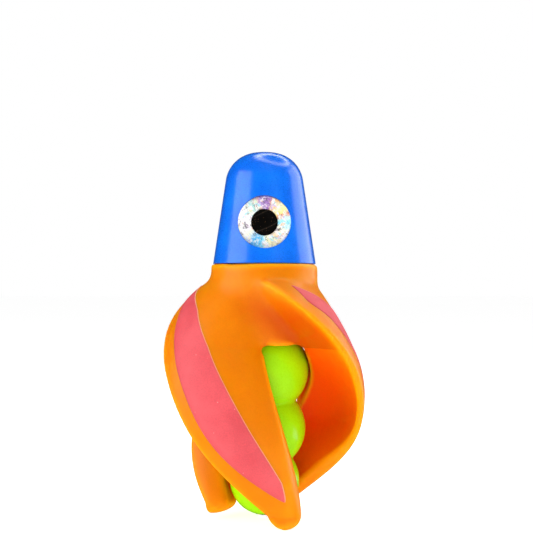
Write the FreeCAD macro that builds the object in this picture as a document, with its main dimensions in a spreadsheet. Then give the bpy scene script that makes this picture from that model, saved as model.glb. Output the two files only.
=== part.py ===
"""Rotating lure body: a bullet head and a three-ball core, with a three-arm cage that spins between them.

Millimetres, +Z up along the spin axis, the front eye facing -Y. The origin is where the leader's bore
opens at the tail. Angles run round the axis from -Y towards +X. The blade of an arm is described by its
drop, the distance below the cage's lip.
"""
import FreeCAD, Part
import Sketcher
import math
import os

from FreeCAD import Placement, Rotation, Vector

SIZES = {
    # whole object
    "lip_height": 48.6,
    "tip_drop": 49.1,
    # head
    "head_base_radius": 10.0,
    "head_crown_radius": 6.75,
    "head_length": 21.66,
    "head_crown_fillet": 6.2,
    "head_wall": 2.4,
    "plug_radius": 7.2,
    "plug_length": 5.0,
    "plug_step": 0.4,
    "cavity_crown_fillet": 3.0,
    # eyes
    "eye_radius": 5.0,
    "eye_height": 56.2,
    "eye_seat": 7.3,
    "eye_tilt": 3.0,
    "eye_pocket_reach": 4.0,
    "eye_gap": 0.05,
    "foil_thickness": 0.25,
    "pupil_radius": 2.5,
    "pupil_thickness": 0.12,
    "dome_wall": 0.45,
    "dome_rise": 0.75,
    # core
    "upper_ball_radius": 8.6,
    "upper_ball_height": 28.1,
    "middle_ball_radius": 8.0,
    "middle_ball_height": 16.7,
    "lower_ball_radius": 6.8,
    "lower_ball_height": 6.6,
    "tail_flat": 0.2,
    "tail_trim": 2.0,
    "waist_fillet": 0.5,
    "stem_radius": 3.0,
    "stem_end": 56.6,
    "clip_thickness": 0.8,
    "clip_groove": 0.5,
    "clip_radius": 4.6,
    "clip_gap": 3.6,
    # leader's path
    "leader_radius": 0.75,
    "tube_radius": 1.25,
    "ferrule_radius": 1.9,
    "ferrule_length": 3.0,
    "grommet_radius": 2.0,
    "grommet_length": 3.2,
    # cage hub
    "lip_radius": 10.4,
    "hub_foot_radius": 9.65,
    "hub_foot_drop": 15.4,
    "hub_waist_drop": 4.0,
    "hub_foot_fillet": 0.6,
    "head_gap": 0.15,
    "cup_gap": 0.3,
    "core_gap": 0.5,
    "cup_skirt": 8.0,
    "bush_radius": 4.2,
    "bush_length": 10.0,
    "running_gap": 0.05,
    "washer_radius": 7.0,
    "washer_thickness": 0.5,
    # arms: leading edge
    "lead_start_drop": 2.5,
    "lead_start_angle": -24.5,
    "lead_sweep": 113.0,
    "lead_sweep_drop": 40.0,
    "lead_sweep_power": 0.445,
    "lead_kick": 38.5,
    "lead_kick_power": 6.0,
    "belly_radius": 20.5,
    "belly_drop": 20.6,
    "belly_rise": 20.9,
    "lead_tip_radius": 7.4,
    "lead_fall_power": 2.35,
    "lead_fall_shape": 1.25,
    "edge_thickness": 0.35,
    "edge_full_thickness": 1.1,
    "edge_tip_thickness": 4.2,
    "edge_top_drop": 4.0,
    "edge_full_drop": 18.0,
    "edge_thickening_drop": 30.0,
    "edge_tip_drop": 46.0,
    "edge_nose_share": 0.62,
    # arms: trailing edge and the blade between them
    "trail_angle": -20.0,
    "trail_twist": 1.11,
    "trail_top_radius": 9.1,
    "trail_tip_radius": 12.2,
    "trail_bulge": 3.8,
    "trail_end_square": 4.0,
    "trail_tip_square": 2.2,
    "trail_round": 0.9,
    "trail_tip_round": 2.2,
    "trail_round_drop": 28.0,
    "trail_tip_round_drop": 38.0,
    "blade_crown": 1.43,
    "root_radius": 8.0,
    "root_end_drop": 12.0,
    "bore_start_drop": 17.0,
    "bore_radius": 9.0,
    "bore_end_drop": 36.0,
    "tip_bore_drop": 46.0,
    "tip_bore_radius": 8.6,
    # arms: the leading face winds in from the edge to meet the bore along a seam
    "seam_angle": -46.0,
    "seam_twist": 6.1,
    "seam_margin": 5.0,
    "seam_blend": 6.0,
    "seam_free_drop": 24.0,
    "seam_bore_drop": 30.0,
    "face_knee": 0.6,
    "face_bow": 0.42,
    "face_bow_change": 0.20,
    "face_bow_span": 30.0,
    "bar_start_drop": 30.0,
    "bar_end_drop": 40.0,
    "bar_bulge": 0.8,
    "bar_corner_share": 0.8,
    # arm tips, and each arm's own lean and length there
    "tip_shape_drop": 46.0,
    "tip_round_drop": 46.5,
    "tip_centre_radius": 10.5,
    "tip_centre_angle": 19.0,
    "lean_drop": 28.0,
    "stretch_drop": 30.0,
    "arm_a_lean": 0.0,
    "arm_a_stretch": 0.2,
    "arm_b_lean": 9.0,
    "arm_b_stretch": 0.0,
    "arm_c_lean": 10.0,
    "arm_c_stretch": -0.7,
    # stripes let into the arms; their borders are shares of the blade's width
    "stripe_depth": 0.8,
    "stripe_top_drop": 4.0,
    "stripe_end_drop": 43.4,
    "stripe_start": 0.185,
    "stripe_top_shift": 0.045,
    "stripe_shift_drop": 7.3,
    "stripe_shift_span": 1.7,
    "stripe_taper_drop": 25.0,
    "stripe_taper": 0.54,
    "stripe_taper_power": 3.4,
    "stripe_stop": 0.345,
    "stripe_widening": 0.01,
    "stripe_top_pinch": 0.165,
    "stripe_pinch_run": 4.85,
    "stripe_flare_drop": 28.0,
    "stripe_flare_run": 11.0,
    "stripe_flare": 0.055,
    "stripe_end_width": 0.04,
}
ARM_COUNT = 3
ARM_NAMES = ("a", "b", "c")
ARM_STEP = 360.0 / ARM_COUNT
BLADE_TOP_DROP = 1.0
BLADE_STATIONS = 24
TIP_STATIONS = 5
CURVE_POINTS = 15
FACE_POINTS = 15
BORE_POINTS = 9
CAP_POINTS = 9
LEAST_NOSE = 0.35
STRIPE_STATIONS = 13
SHARE_STEP = 0.004
TIP_FLAT = 0.01

doc = FreeCAD.newDocument("lure_body")
sheet = doc.addObject("Spreadsheet::Sheet", "Sizes")
for row, (alias, value) in enumerate(SIZES.items(), start=1):
    sheet.set("A%d" % row, alias)
    sheet.set("B%d" % row, str(value))
    sheet.setAlias("B%d" % row, alias)
doc.recompute()


def size(alias):
    """The value of one cell of the sheet."""
    return float(sheet.get(alias))


def evaluate(formula):
    """The number that a formula of {cell} names gives."""
    return float(sheet.evalExpression(formula.replace("{", "").replace("}", "")))


def bind(obj, prop, formula):
    """Bind a property to a formula of {cell} names."""
    obj.setExpression(prop, formula.replace("{", "Sizes.").replace("}", ""))


# ---------------------------------------------------------------- sketched pieces

def plane(body, role):
    """One of a body's own origin planes."""
    return next(item for item in body.Origin.OriginFeatures if item.Role == role)


def new_body(name):
    body = doc.addObject("PartDesign::Body", name)
    body.Label = name
    return body


def revolved(name, corners):
    """A body turned about +Z from a closed outline of (radius formula, height formula) corners."""
    body = new_body(name)
    sketch = body.newObject("Sketcher::SketchObject", name + "_outline")
    sketch.AttachmentSupport = [(plane(body, "XZ_Plane"), "")]
    sketch.MapMode = "FlatFace"
    count = len(corners)
    start = [Vector(evaluate(radius), evaluate(height), 0) for radius, height in corners]
    for index in range(count):
        sketch.addGeometry(Part.LineSegment(start[index], start[(index + 1) % count]), False)
    for index in range(count):
        sketch.addConstraint(Sketcher.Constraint("Coincident", index, 2, (index + 1) % count, 1))
    for index, (radius, height) in enumerate(corners):
        for kind, formula in (("DistanceX", radius), ("DistanceY", height)):
            value = evaluate(formula)
            if value == 0:
                axis = -2 if kind == "DistanceX" else -1
                sketch.addConstraint(Sketcher.Constraint("PointOnObject", index, 1, axis))
                continue
            number = sketch.addConstraint(Sketcher.Constraint(kind, -1, 1, index, 1, value))
            bind(sketch, "Constraints[%d]" % number, formula)
    turn = body.newObject("PartDesign::Revolution", name + "_turn")
    turn.Profile = sketch
    turn.ReferenceAxis = (sketch, ["V_Axis"])
    turn.Angle = 360
    doc.recompute()
    return body


def ring(name, outer, inner, base, length):
    """A body padded from two circles, standing on the height `base`."""
    body = new_body(name)
    sketch = body.newObject("Sketcher::SketchObject", name + "_circles")
    sketch.AttachmentSupport = [(plane(body, "XY_Plane"), "")]
    sketch.MapMode = "FlatFace"
    for index, formula in enumerate((outer, inner)):
        circle = Part.Circle(Vector(0, 0, 0), Vector(0, 0, 1), evaluate(formula))
        sketch.addGeometry(circle, False)
        sketch.addConstraint(Sketcher.Constraint("Coincident", index, 3, -1, 1))
        number = sketch.addConstraint(Sketcher.Constraint("Radius", index, evaluate(formula)))
        bind(sketch, "Constraints[%d]" % number, formula)
    pad = body.newObject("PartDesign::Pad", name + "_pad")
    pad.Profile = sketch
    bind(pad, "Length", length)
    bind(body, "Placement.Base.z", base)
    doc.recompute()
    return body


def fillet(body, radius, picks):
    """Round the circular edges of a body at the given (radius, height) pairs."""
    feature = body.Tip
    edges = []
    for pick_radius, pick_height in picks:
        for number, edge in enumerate(feature.Shape.Edges, start=1):
            curve = edge.Curve
            if not isinstance(curve, Part.Circle):
                continue
            near = abs(curve.Radius - pick_radius) < 0.01 and abs(curve.Center.z - pick_height) < 0.01
            if near:
                edges.append("Edge%d" % number)
    rounding = body.newObject("PartDesign::Fillet", feature.Name + "_fillet")
    rounding.Base = (feature, edges)
    bind(rounding, "Radius", radius)
    doc.recompute()
    return rounding


# ---------------------------------------------------------------- primitives and booleans

def cylinder(name, radius, base, length):
    """A cylinder about +Z standing on the height `base`."""
    obj = doc.addObject("Part::Cylinder", name)
    bind(obj, "Radius", radius)
    bind(obj, "Height", length)
    bind(obj, "Placement.Base.z", base)
    return obj


def ball(name, radius, height):
    """A sphere on the axis."""
    obj = doc.addObject("Part::Sphere", name)
    bind(obj, "Radius", radius)
    bind(obj, "Placement.Base.z", height)
    return obj


def fuse(name, pieces):
    obj = doc.addObject("Part::MultiFuse", name)
    obj.Shapes = pieces
    return obj


def cut(name, base, tool):
    obj = doc.addObject("Part::Cut", name)
    obj.Base = base
    obj.Tool = tool
    obj.Label = name
    return obj


def common(name, base, tool):
    obj = doc.addObject("Part::Common", name)
    obj.Base = base
    obj.Tool = tool
    obj.Label = name
    return obj


# ---------------------------------------------------------------- eyes

FRONT = 1
BACK = -1


def on_eye(obj, side, lift):
    """Stand an object on an eye's seat, `lift` above its floor, with its +Z pointing out of the head."""
    tilt = "(90 - {eye_tilt})"
    bind(obj, "Placement.Rotation.Angle", "%d * %s" % (side, tilt))
    obj.Placement.Rotation.Axis = Vector(1, 0, 0)
    bind(obj, "Placement.Base.y", "%d * ({eye_seat} + (%s) * cos({eye_tilt} * 1 deg))" % (-side, lift))
    bind(obj, "Placement.Base.z", "{eye_height} + (%s) * sin({eye_tilt} * 1 deg)" % lift)


def disc(name, side, radius, lift, thickness):
    obj = doc.addObject("Part::Cylinder", name)
    obj.Label = name
    bind(obj, "Radius", radius)
    bind(obj, "Height", thickness)
    on_eye(obj, side, lift)
    return obj


def make_eye(where, side):
    """Foil disc, pupil disc and clear dome of one eye; returns them and the pocket they sit in."""
    inside = "{eye_radius} - {eye_gap}"
    pocket = disc("eye_%s_pocket" % where, side, "{eye_radius}", "0", "{eye_pocket_reach}")
    foil = disc("eye_%s_foil" % where, side, inside, "0", "{foil_thickness}")
    pupil = disc("eye_%s_pupil" % where, side, "{pupil_radius}", "{foil_thickness}", "{pupil_thickness}")
    hollow = disc("eye_%s_hollow" % where, side, "{pupil_radius}", "{foil_thickness}", "{pupil_thickness}")
    barrel = disc("eye_%s_barrel" % where, side, inside, "{foil_thickness}", "{dome_wall} + {dome_rise}")
    lens_radius = "(({eye_radius} - {eye_gap}) ^ 2 + {dome_rise} ^ 2) / (2 * {dome_rise})"
    lens = doc.addObject("Part::Sphere", "eye_%s_lens" % where)
    bind(lens, "Radius", lens_radius)
    on_eye(lens, side, "{foil_thickness} + {dome_wall} + {dome_rise} - " + lens_radius)
    cap = common("eye_%s_cap" % where, barrel, lens)
    dome = cut("eye_%s_dome" % where, cap, hollow)
    return [foil, pupil, dome], pocket


# ---------------------------------------------------------------- head and core

def make_head(pockets):
    """The blue shell: tapered, with a rounded crown, a stepped cavity and two eye pockets."""
    top = "{lip_height} + {head_length}"
    blank = revolved("head_blank", [
        ("0", "{lip_height}"),
        ("{head_base_radius}", "{lip_height}"),
        ("{head_crown_radius}", top),
        ("0", top),
    ])
    fillet(blank, "{head_crown_fillet}", [(size("head_crown_radius"), evaluate(top))])
    roof = top + " - {head_wall}"
    cavity = revolved("head_cavity", [
        ("0", "{lip_height}"),
        ("{plug_radius}", "{lip_height}"),
        ("{plug_radius}", "{lip_height} + {plug_length}"),
        ("{plug_radius} - {plug_step}", "{lip_height} + {plug_length}"),
        ("{head_crown_radius} - {head_wall}", roof),
        ("0", roof),
    ])
    fillet(cavity, "{cavity_crown_fillet}",
           [(evaluate("{head_crown_radius} - {head_wall}"), evaluate(roof))])
    nose_hole = cylinder("nose_hole", "{grommet_radius}", top + " - {grommet_length}", "{grommet_length}")
    tools = fuse("head_tools", [cavity, nose_hole] + pockets)
    return cut("head_shell", blank, tools)


def make_core():
    """The green core: three tapering balls in one moulding, with the stem that the cage turns on."""
    balls = [
        ball("upper_ball", "{upper_ball_radius}", "{upper_ball_height}"),
        ball("middle_ball", "{middle_ball_radius}", "{middle_ball_height}"),
        ball("lower_ball", "{lower_ball_radius}", "{lower_ball_height}"),
    ]
    stem = cylinder("stem", "{stem_radius}", "{upper_ball_height}", "{stem_end} - {upper_ball_height}")
    blank = fuse("core_blank", balls + [stem])
    doc.recompute()
    waists = []
    for number, edge in enumerate(blank.Shape.Edges, start=1):
        if edge.Degenerated or edge.CenterOfMass.z > size("upper_ball_height"):
            continue
        if isinstance(edge.Curve, Part.Circle) and edge.isClosed():
            waists.append((number, size("waist_fillet"), size("waist_fillet")))
    rounded = doc.addObject("Part::Fillet", "core_rounded")
    rounded.Base = blank
    rounded.Edges = waists
    bore = cylinder("core_bore", "{tube_radius}", "-{ferrule_length}", "{stem_end} + 2 * {ferrule_length}")
    tail = cylinder("core_tail", "{lower_ball_radius}", "{tail_flat} - {tail_trim}", "{tail_trim}")
    seat = cylinder("ferrule_seat", "{ferrule_radius}", "-{ferrule_length}", "2 * {ferrule_length}")
    groove = ring("clip_seat", "{clip_radius}", "{stem_radius} - {clip_groove}",
                  "{lip_height} + {plug_length}", "{clip_thickness}")
    return cut("bead_core", rounded, fuse("core_tools", [bore, tail, seat, groove]))


def make_clip():
    """A split ring in the stem's groove, above the plug."""
    whole = ring("clip_whole", "{clip_radius}", "{stem_radius} - {clip_groove}",
                 "{lip_height} + {plug_length}", "{clip_thickness}")
    gap = doc.addObject("Part::Box", "clip_mouth")
    bind(gap, "Length", "{clip_radius} + {clip_gap}")
    bind(gap, "Width", "{clip_gap}")
    bind(gap, "Height", "{clip_thickness}")
    bind(gap, "Placement.Base.y", "-{clip_gap} / 2")
    bind(gap, "Placement.Base.z", "{lip_height} + {plug_length}")
    return cut("stem_circlip", whole, gap)


def make_leader_path():
    """The tube from tail to nose and the two rings that hold its ends."""
    top = "{lip_height} + {head_length}"
    return [
        ring("leader_tube", "{tube_radius}", "{leader_radius}", "0", top),
        ring("nose_grommet", "{grommet_radius}", "{tube_radius}", top + " - {grommet_length}",
             "{grommet_length}"),
        ring("tail_ferrule", "{ferrule_radius}", "{tube_radius}", "0", "{ferrule_length}"),
    ]


# ---------------------------------------------------------------- cage

def polar(radius, angle):
    """A point at an angle in degrees from -Y towards +X."""
    turn = math.radians(angle)
    return Vector(radius * math.sin(turn), -radius * math.cos(turn), 0)


def ease(value, low, high):
    """0 below low, 1 above high, smooth between."""
    part = min(max((value - low) / (high - low), 0), 1)
    return part * part * (3 - 2 * part)


def leading_edge(drop):
    """Radius and angle of a blade's leading edge: an ellipse over the belly, then a fall to the tip."""
    sweep = max((drop - size("lead_start_drop")) / size("lead_sweep_drop"), 0)
    angle = size("lead_start_angle") + size("lead_sweep") * sweep ** size("lead_sweep_power")
    belly = size("belly_radius")
    if drop <= size("belly_drop"):
        rise = (size("belly_drop") - drop) / size("belly_rise")
        return belly * math.sqrt(1 - rise * rise), angle
    fall = (drop - size("belly_drop")) / (size("tip_drop") - size("belly_drop"))
    angle += size("lead_kick") * fall ** size("lead_kick_power")
    shape = (1 - fall ** size("lead_fall_power")) ** size("lead_fall_shape")
    return size("lead_tip_radius") + (belly - size("lead_tip_radius")) * shape, angle


def trailing_edge(drop):
    """Radius and angle of a blade's outer trailing corner, and the radius of its inner one."""
    angle = size("trail_angle") + size("trail_twist") * drop + ARM_STEP
    along = max((drop - size("hub_foot_drop")) / (size("tip_drop") - size("hub_foot_drop")), 0)
    radius = size("trail_top_radius") + (size("trail_tip_radius") - size("trail_top_radius")) * along
    radius += size("trail_bulge") * 4 * along * (1 - along)
    below_hub = ease(drop, size("root_end_drop"), size("bore_start_drop"))
    near_tip = ease(drop, size("bore_end_drop"), size("tip_bore_drop"))
    inner = size("root_radius") + (size("bore_radius") - size("root_radius")) * below_hub
    inner += (size("tip_bore_radius") - size("bore_radius")) * near_tip
    return radius, angle, inner


def outer_point(drop, along):
    """Point of the blade's outer face at a share `along` of the way from leading to trailing edge."""
    lead_radius, lead_angle = leading_edge(drop)
    trail_radius, trail_angle, inner_radius = trailing_edge(drop)
    radius = lead_radius + (trail_radius - lead_radius) * along ** size("blade_crown")
    return polar(radius, lead_angle + (trail_angle - lead_angle) * along)


def inward_at(drop, along):
    """Direction square to the outer face and into the blade."""
    tangent = outer_point(drop, min(along + SHARE_STEP, 1)) - outer_point(drop, max(along - SHARE_STEP, 0))
    inward = Vector(tangent.y, -tangent.x, 0).normalize()
    return inward * -1 if inward.dot(outer_point(drop, along)) > 0 else inward


def angle_of(point):
    """Angle of a point, from 90 degrees before -Y to 270 after."""
    angle = math.degrees(math.atan2(point.x, -point.y))
    return angle if angle > -90 else angle + 360


def bezier(controls, share):
    """Point of a Bezier curve of any degree."""
    points = list(controls)
    while len(points) > 1:
        points = [one * (1 - share) + two * share for one, two in zip(points, points[1:])]
    return points[0]


def walk(points, start, stop, count):
    """Evenly spaced points between two distances along a run of points."""
    run = [0.0]
    for one, two in zip(points, points[1:]):
        run.append(run[-1] + (two - one).Length)
    stop = min(stop, run[-1])
    spots = []
    for index in range(count):
        reach = start + (stop - start) * index / (count - 1)
        step = 0
        while step < len(run) - 2 and run[step + 1] < reach:
            step += 1
        share = (reach - run[step]) / (run[step + 1] - run[step])
        spots.append(points[step] + (points[step + 1] - points[step]) * share)
    return spots


def run_length(points):
    return sum((two - one).Length for one, two in zip(points, points[1:]))


def edge_thickness(drop):
    """Thickness of the blade at its leading edge."""
    thickness = size("edge_thickness")
    full = ease(drop, size("edge_top_drop"), size("edge_full_drop"))
    thickness += (size("edge_full_thickness") - size("edge_thickness")) * full
    tip = ease(drop, size("edge_thickening_drop"), size("edge_tip_drop"))
    return thickness + (size("edge_tip_thickness") - size("edge_full_thickness")) * tip


def inner_sides(drop):
    """Inner side of the blade in two runs: its leading face, from the edge to the bore, and its bore side."""
    trail_radius, trail_angle, inner_radius = trailing_edge(drop)
    edge = outer_point(drop, 0) + inward_at(drop, 0) * edge_thickness(drop)
    # the trailing face lies along the radius through the middle of the arm's own gap
    across = trail_radius * math.sin(math.radians(trail_angle - ARM_STEP))
    corner_angle = math.degrees(math.asin(across / inner_radius)) + ARM_STEP
    corner = polar(inner_radius, corner_angle)
    # the seam lies ahead of the edge beside the hub, and far behind it lower down
    blend = size("seam_blend")
    last = corner_angle - size("seam_margin")
    seam = size("seam_angle") + size("seam_twist") * drop
    seam = last - blend * math.log1p(math.exp((last - seam) / blend))
    to_bore = ease(drop, size("seam_free_drop"), size("seam_bore_drop"))
    seam_radius = size("bore_radius") + (inner_radius - size("bore_radius")) * to_bore
    edge_angle = angle_of(edge)
    lag = seam - edge_angle
    bow = size("face_bow") + size("face_bow_change") * math.tanh(lag / size("face_bow_span"))
    knee_radius = seam_radius + (edge.Length - seam_radius) * size("face_knee")
    wound = [Vector(edge.Length, edge_angle, 0), Vector(knee_radius, edge_angle + lag * bow, 0),
             Vector(seam_radius, seam, 0)]
    # near the tip the arm is a plain bar, its inner side a soft curve from edge to corner
    middle = (edge + corner) * 0.5
    bar = [edge, middle + Vector(middle).normalize() * size("bar_bulge"), corner]
    near_tip = ease(drop, size("bar_start_drop"), size("bar_end_drop"))
    split = size("bar_corner_share")
    face = []
    for index in range(FACE_POINTS):
        share = index / (FACE_POINTS - 1)
        place = bezier(wound, share)
        face.append(polar(place.x, place.y) * (1 - near_tip) + bezier(bar, split * share) * near_tip)
    bore = []
    for index in range(BORE_POINTS):
        share = index / (BORE_POINTS - 1)
        place = polar(seam_radius + (inner_radius - seam_radius) * share, seam + (corner_angle - seam) * share)
        bore.append(place * (1 - near_tip) + bezier(bar, split + (1 - split) * share) * near_tip)
    return face, bore


def to_tip(drop, point):
    """Draw a point of a section in towards the rounded tip, and set it at its height."""
    start = size("tip_round_drop")
    if drop > start:
        share = (drop - start) / (size("tip_drop") - start)
        centre = polar(size("tip_centre_radius"), size("tip_centre_angle") + ARM_STEP)
        point = centre + (point - centre) * math.sqrt(max(1 - share * share, TIP_FLAT))
    return Vector(point.x, point.y, size("lip_height") - drop)


def section_curve(points):
    """A smooth edge through points."""
    spline = Part.BSplineCurve()
    spline.interpolate(points)
    return spline.toShape()


def blade_section(drop):
    """A closed wire round the blade at one drop: outer face, trailing end, bore side, leading face and edge."""
    shape_drop = min(drop, size("tip_shape_drop"))
    face, bore = inner_sides(shape_drop)
    rounding = ease(drop, size("trail_round_drop"), size("trail_tip_round_drop"))
    trail_round = size("trail_round") + (size("trail_tip_round") - size("trail_round")) * rounding
    power = size("trail_end_square") + (size("trail_tip_square") - size("trail_end_square")) * rounding
    span = (outer_point(shape_drop, 1) - outer_point(shape_drop, 0)).Length
    nose = max(LEAST_NOSE, size("edge_nose_share") * edge_thickness(shape_drop))
    first = nose / span
    last = 1 - trail_round / span
    outer = [outer_point(shape_drop, first + (last - first) * index / (CURVE_POINTS - 1))
             for index in range(CURVE_POINTS)]
    bore_side = walk(bore, 0, run_length(bore) - trail_round, BORE_POINTS)
    face_side = walk(face, nose, run_length(face), FACE_POINTS)
    middle = (outer[-1] + bore_side[-1]) * 0.5
    half = (outer[-1] - bore_side[-1]) * 0.5
    out = (outer_point(shape_drop, 1) + bore[-1]) * 0.5 - middle

    def squared(value):
        return math.copysign(abs(value) ** (2 / power), value)

    trail_cap = []
    lead_cap = []
    controls = [face_side[0], face[0], outer_point(shape_drop, 0), outer[0]]
    for index in range(CAP_POINTS):
        share = index / (CAP_POINTS - 1)
        turn = math.pi * share
        trail_cap.append(middle + half * squared(math.cos(turn)) + out * squared(math.sin(turn)))
        lead_cap.append(bezier(controls, share))
    trail_cap[-1] = bore_side[-1]
    bore_side.reverse()
    face_side.reverse()
    runs = (outer, trail_cap, bore_side, face_side, lead_cap)
    return Part.Wire([section_curve([to_tip(drop, point) for point in run]) for run in runs])


def blade_drops():
    """Drops of the sections: even down the blade, then closing up round the tip."""
    start = size("tip_round_drop")
    drops = [BLADE_TOP_DROP + (start - BLADE_TOP_DROP) * index / (BLADE_STATIONS - 1)
             for index in range(BLADE_STATIONS)]
    for index in range(1, TIP_STATIONS + 1):
        drops.append(start + (size("tip_drop") - start) * math.sin(math.pi / 2 * index / TIP_STATIONS))
    return drops


def stripe_edges(drop):
    """Shares of the blade's width where the stripe starts and ends."""
    taper_run = size("stripe_end_drop") - size("stripe_taper_drop")
    taper = max((drop - size("stripe_taper_drop")) / taper_run, 0) ** size("stripe_taper_power")
    shift = math.exp(-((drop - size("stripe_shift_drop")) / size("stripe_shift_span")) ** 2)
    start = size("stripe_start") - size("stripe_top_shift") * shift + size("stripe_taper") * taper
    pinch = 1 - min((drop - size("stripe_top_drop")) / size("stripe_pinch_run"), 1)
    flare = max((drop - size("stripe_flare_drop")) / size("stripe_flare_run"), 0)
    stop = size("stripe_stop") + size("stripe_widening") * drop
    stop += size("stripe_flare") * flare ** 2 - size("stripe_top_pinch") * pinch ** 1.5
    return start, max(stop, start + size("stripe_end_width"))


def stripe_section(drop):
    """A closed wire round the stripe's recess at one drop, from below the skin to well outside it."""
    start, stop = stripe_edges(drop)
    under = []
    over = []
    for index in range(CURVE_POINTS):
        share = start + (stop - start) * index / (CURVE_POINTS - 1)
        outer = outer_point(drop, share)
        inward = inward_at(drop, share)
        lift = Vector(0, 0, size("lip_height") - drop)
        under.append(outer + inward * size("stripe_depth") + lift)
        over.append(outer - inward + lift)
    over.reverse()
    sides = [Part.makeLine(under[-1], over[0]), Part.makeLine(over[-1], under[0])]
    return Part.Wire([section_curve(under), sides[0], section_curve(over), sides[1]])


def leaning(letter, wires, drops):
    """Wires turned and let down by an arm's own lean and length, each for its drop."""
    placed = []
    for wire, drop in zip(wires, drops):
        lean = size("arm_%s_lean" % letter) * ease(drop, size("lean_drop"), size("tip_drop"))
        stretch = size("arm_%s_stretch" % letter) * ease(drop, size("stretch_drop"), size("tip_drop"))
        placed.append(wire.copy())
        placed[-1].Placement = Placement(Vector(0, 0, -stretch), Rotation(Vector(0, 0, 1), lean))
    return placed


def lofted(name, wires, turn):
    """A solid through closed wires, turned about +Z."""
    obj = doc.addObject("Part::Feature", name)
    obj.Shape = Part.makeLoft(wires, True)
    obj.Placement = Placement(Vector(0, 0, 0), Rotation(Vector(0, 0, 1), turn))
    return obj


def make_cage():
    """The orange moulding, its three stripes, and the bush pressed into it."""
    top = "{lip_height} - {head_gap}"
    foot = "{lip_height} - {hub_foot_drop}"
    hub = revolved("hub", [
        ("0", top),
        ("{lip_radius}", top),
        ("{lip_radius}", "{lip_height} - {hub_waist_drop}"),
        ("{hub_foot_radius}", foot),
        ("0", foot),
    ])
    fillet(hub, "{hub_foot_fillet}", [(size("hub_foot_radius"), evaluate(foot))])
    drops = blade_drops()
    blade_wires = [blade_section(drop) for drop in drops]
    top_drop = size("stripe_top_drop")
    stripe_span = size("stripe_end_drop") - top_drop
    stripe_drops = [top_drop + stripe_span * index / (STRIPE_STATIONS - 1)
                    for index in range(STRIPE_STATIONS)]
    stripe_wires = [stripe_section(drop) for drop in stripe_drops]
    arms = []
    recesses = []
    for index, letter in enumerate(ARM_NAMES):
        turn = ARM_STEP * (index - 1)
        arms.append(lofted("arm_" + letter, leaning(letter, blade_wires, drops), turn))
        recesses.append(lofted("recess_" + letter, leaning(letter, stripe_wires, stripe_drops), turn))
    recess_floor = top + " - {washer_thickness}"
    tools = [
        ball("cup", "{upper_ball_radius} + {cup_gap}", "{upper_ball_height}"),
        cylinder("cup_skirt", "{upper_ball_radius} + {cup_gap}", "{upper_ball_height} - {cup_skirt}",
                 "{cup_skirt}"),
        ball("middle_clearance", "{middle_ball_radius} + {core_gap}", "{middle_ball_height}"),
        ball("lower_clearance", "{lower_ball_radius} + {core_gap}", "{lower_ball_height}"),
        cylinder("bush_bore", "{bush_radius}", "{upper_ball_height}", top + " - {upper_ball_height}"),
        cylinder("washer_recess", "{washer_radius} + {cup_gap}", recess_floor, "{washer_thickness}"),
    ]
    blank = cut("cage_blank", fuse("cage_fused", [hub] + arms), fuse("cage_tools", tools))
    cage = cut("spinner_cage", blank, fuse("recesses", recesses))
    inlays = [common("arm_inlay_" + letter, arm, recess)
              for letter, arm, recess in zip(ARM_NAMES, arms, recesses)]
    bush = ring("hub_bush", "{bush_radius}", "{stem_radius} + {running_gap}",
                recess_floor + " - {bush_length}", "{bush_length}")
    return [cage] + inlays + [bush]


# ---------------------------------------------------------------- the pieces

front_eye, front_pocket = make_eye("front", FRONT)
back_eye, back_pocket = make_eye("back", BACK)
nodes = [make_head([front_pocket, back_pocket])]
nodes += front_eye + back_eye
nodes.append(ring("head_plug", "{plug_radius}", "{stem_radius}", "{lip_height}", "{plug_length}"))
nodes.append(make_core())
nodes.append(make_clip())
nodes += make_leader_path()
nodes.append(ring("thrust_washer", "{washer_radius}", "{stem_radius} + {running_gap}",
                  "{lip_height} - {washer_thickness}", "{washer_thickness}"))
nodes += make_cage()
doc.recompute()

for obj in doc.Objects:
    if "Invalid" in obj.State or "Error" in obj.State:
        raise RuntimeError("%s failed: %s" % (obj.Name, obj.State))

os.makedirs("parts", exist_ok=True)
for node in nodes:
    shape = node.Shape
    if shape.isNull() or not shape.isValid() or not shape.Solids:
        raise RuntimeError("%s has no sound shape" % node.Label)
    print("%-18s %8.1f mm3  %d solid(s)" % (node.Label, shape.Volume, len(shape.Solids)))
    shape.exportStep(os.path.join("parts", node.Label + ".step"))
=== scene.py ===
"""The looks of a rotating lure body: blue bullet head, orange three-arm cage and green three-ball core.

Shapes are worked out in millimetres in the frame's own axes: +Z along the spin axis towards the nose, the
front eye facing -Y. Angles run round the axis from -Y towards +X. The cage is described by its drop, the
distance below its lip.
"""
import math

import bpy
import numpy as np
from mathutils import Matrix, Vector
from mathutils.bvhtree import BVHTree


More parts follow.
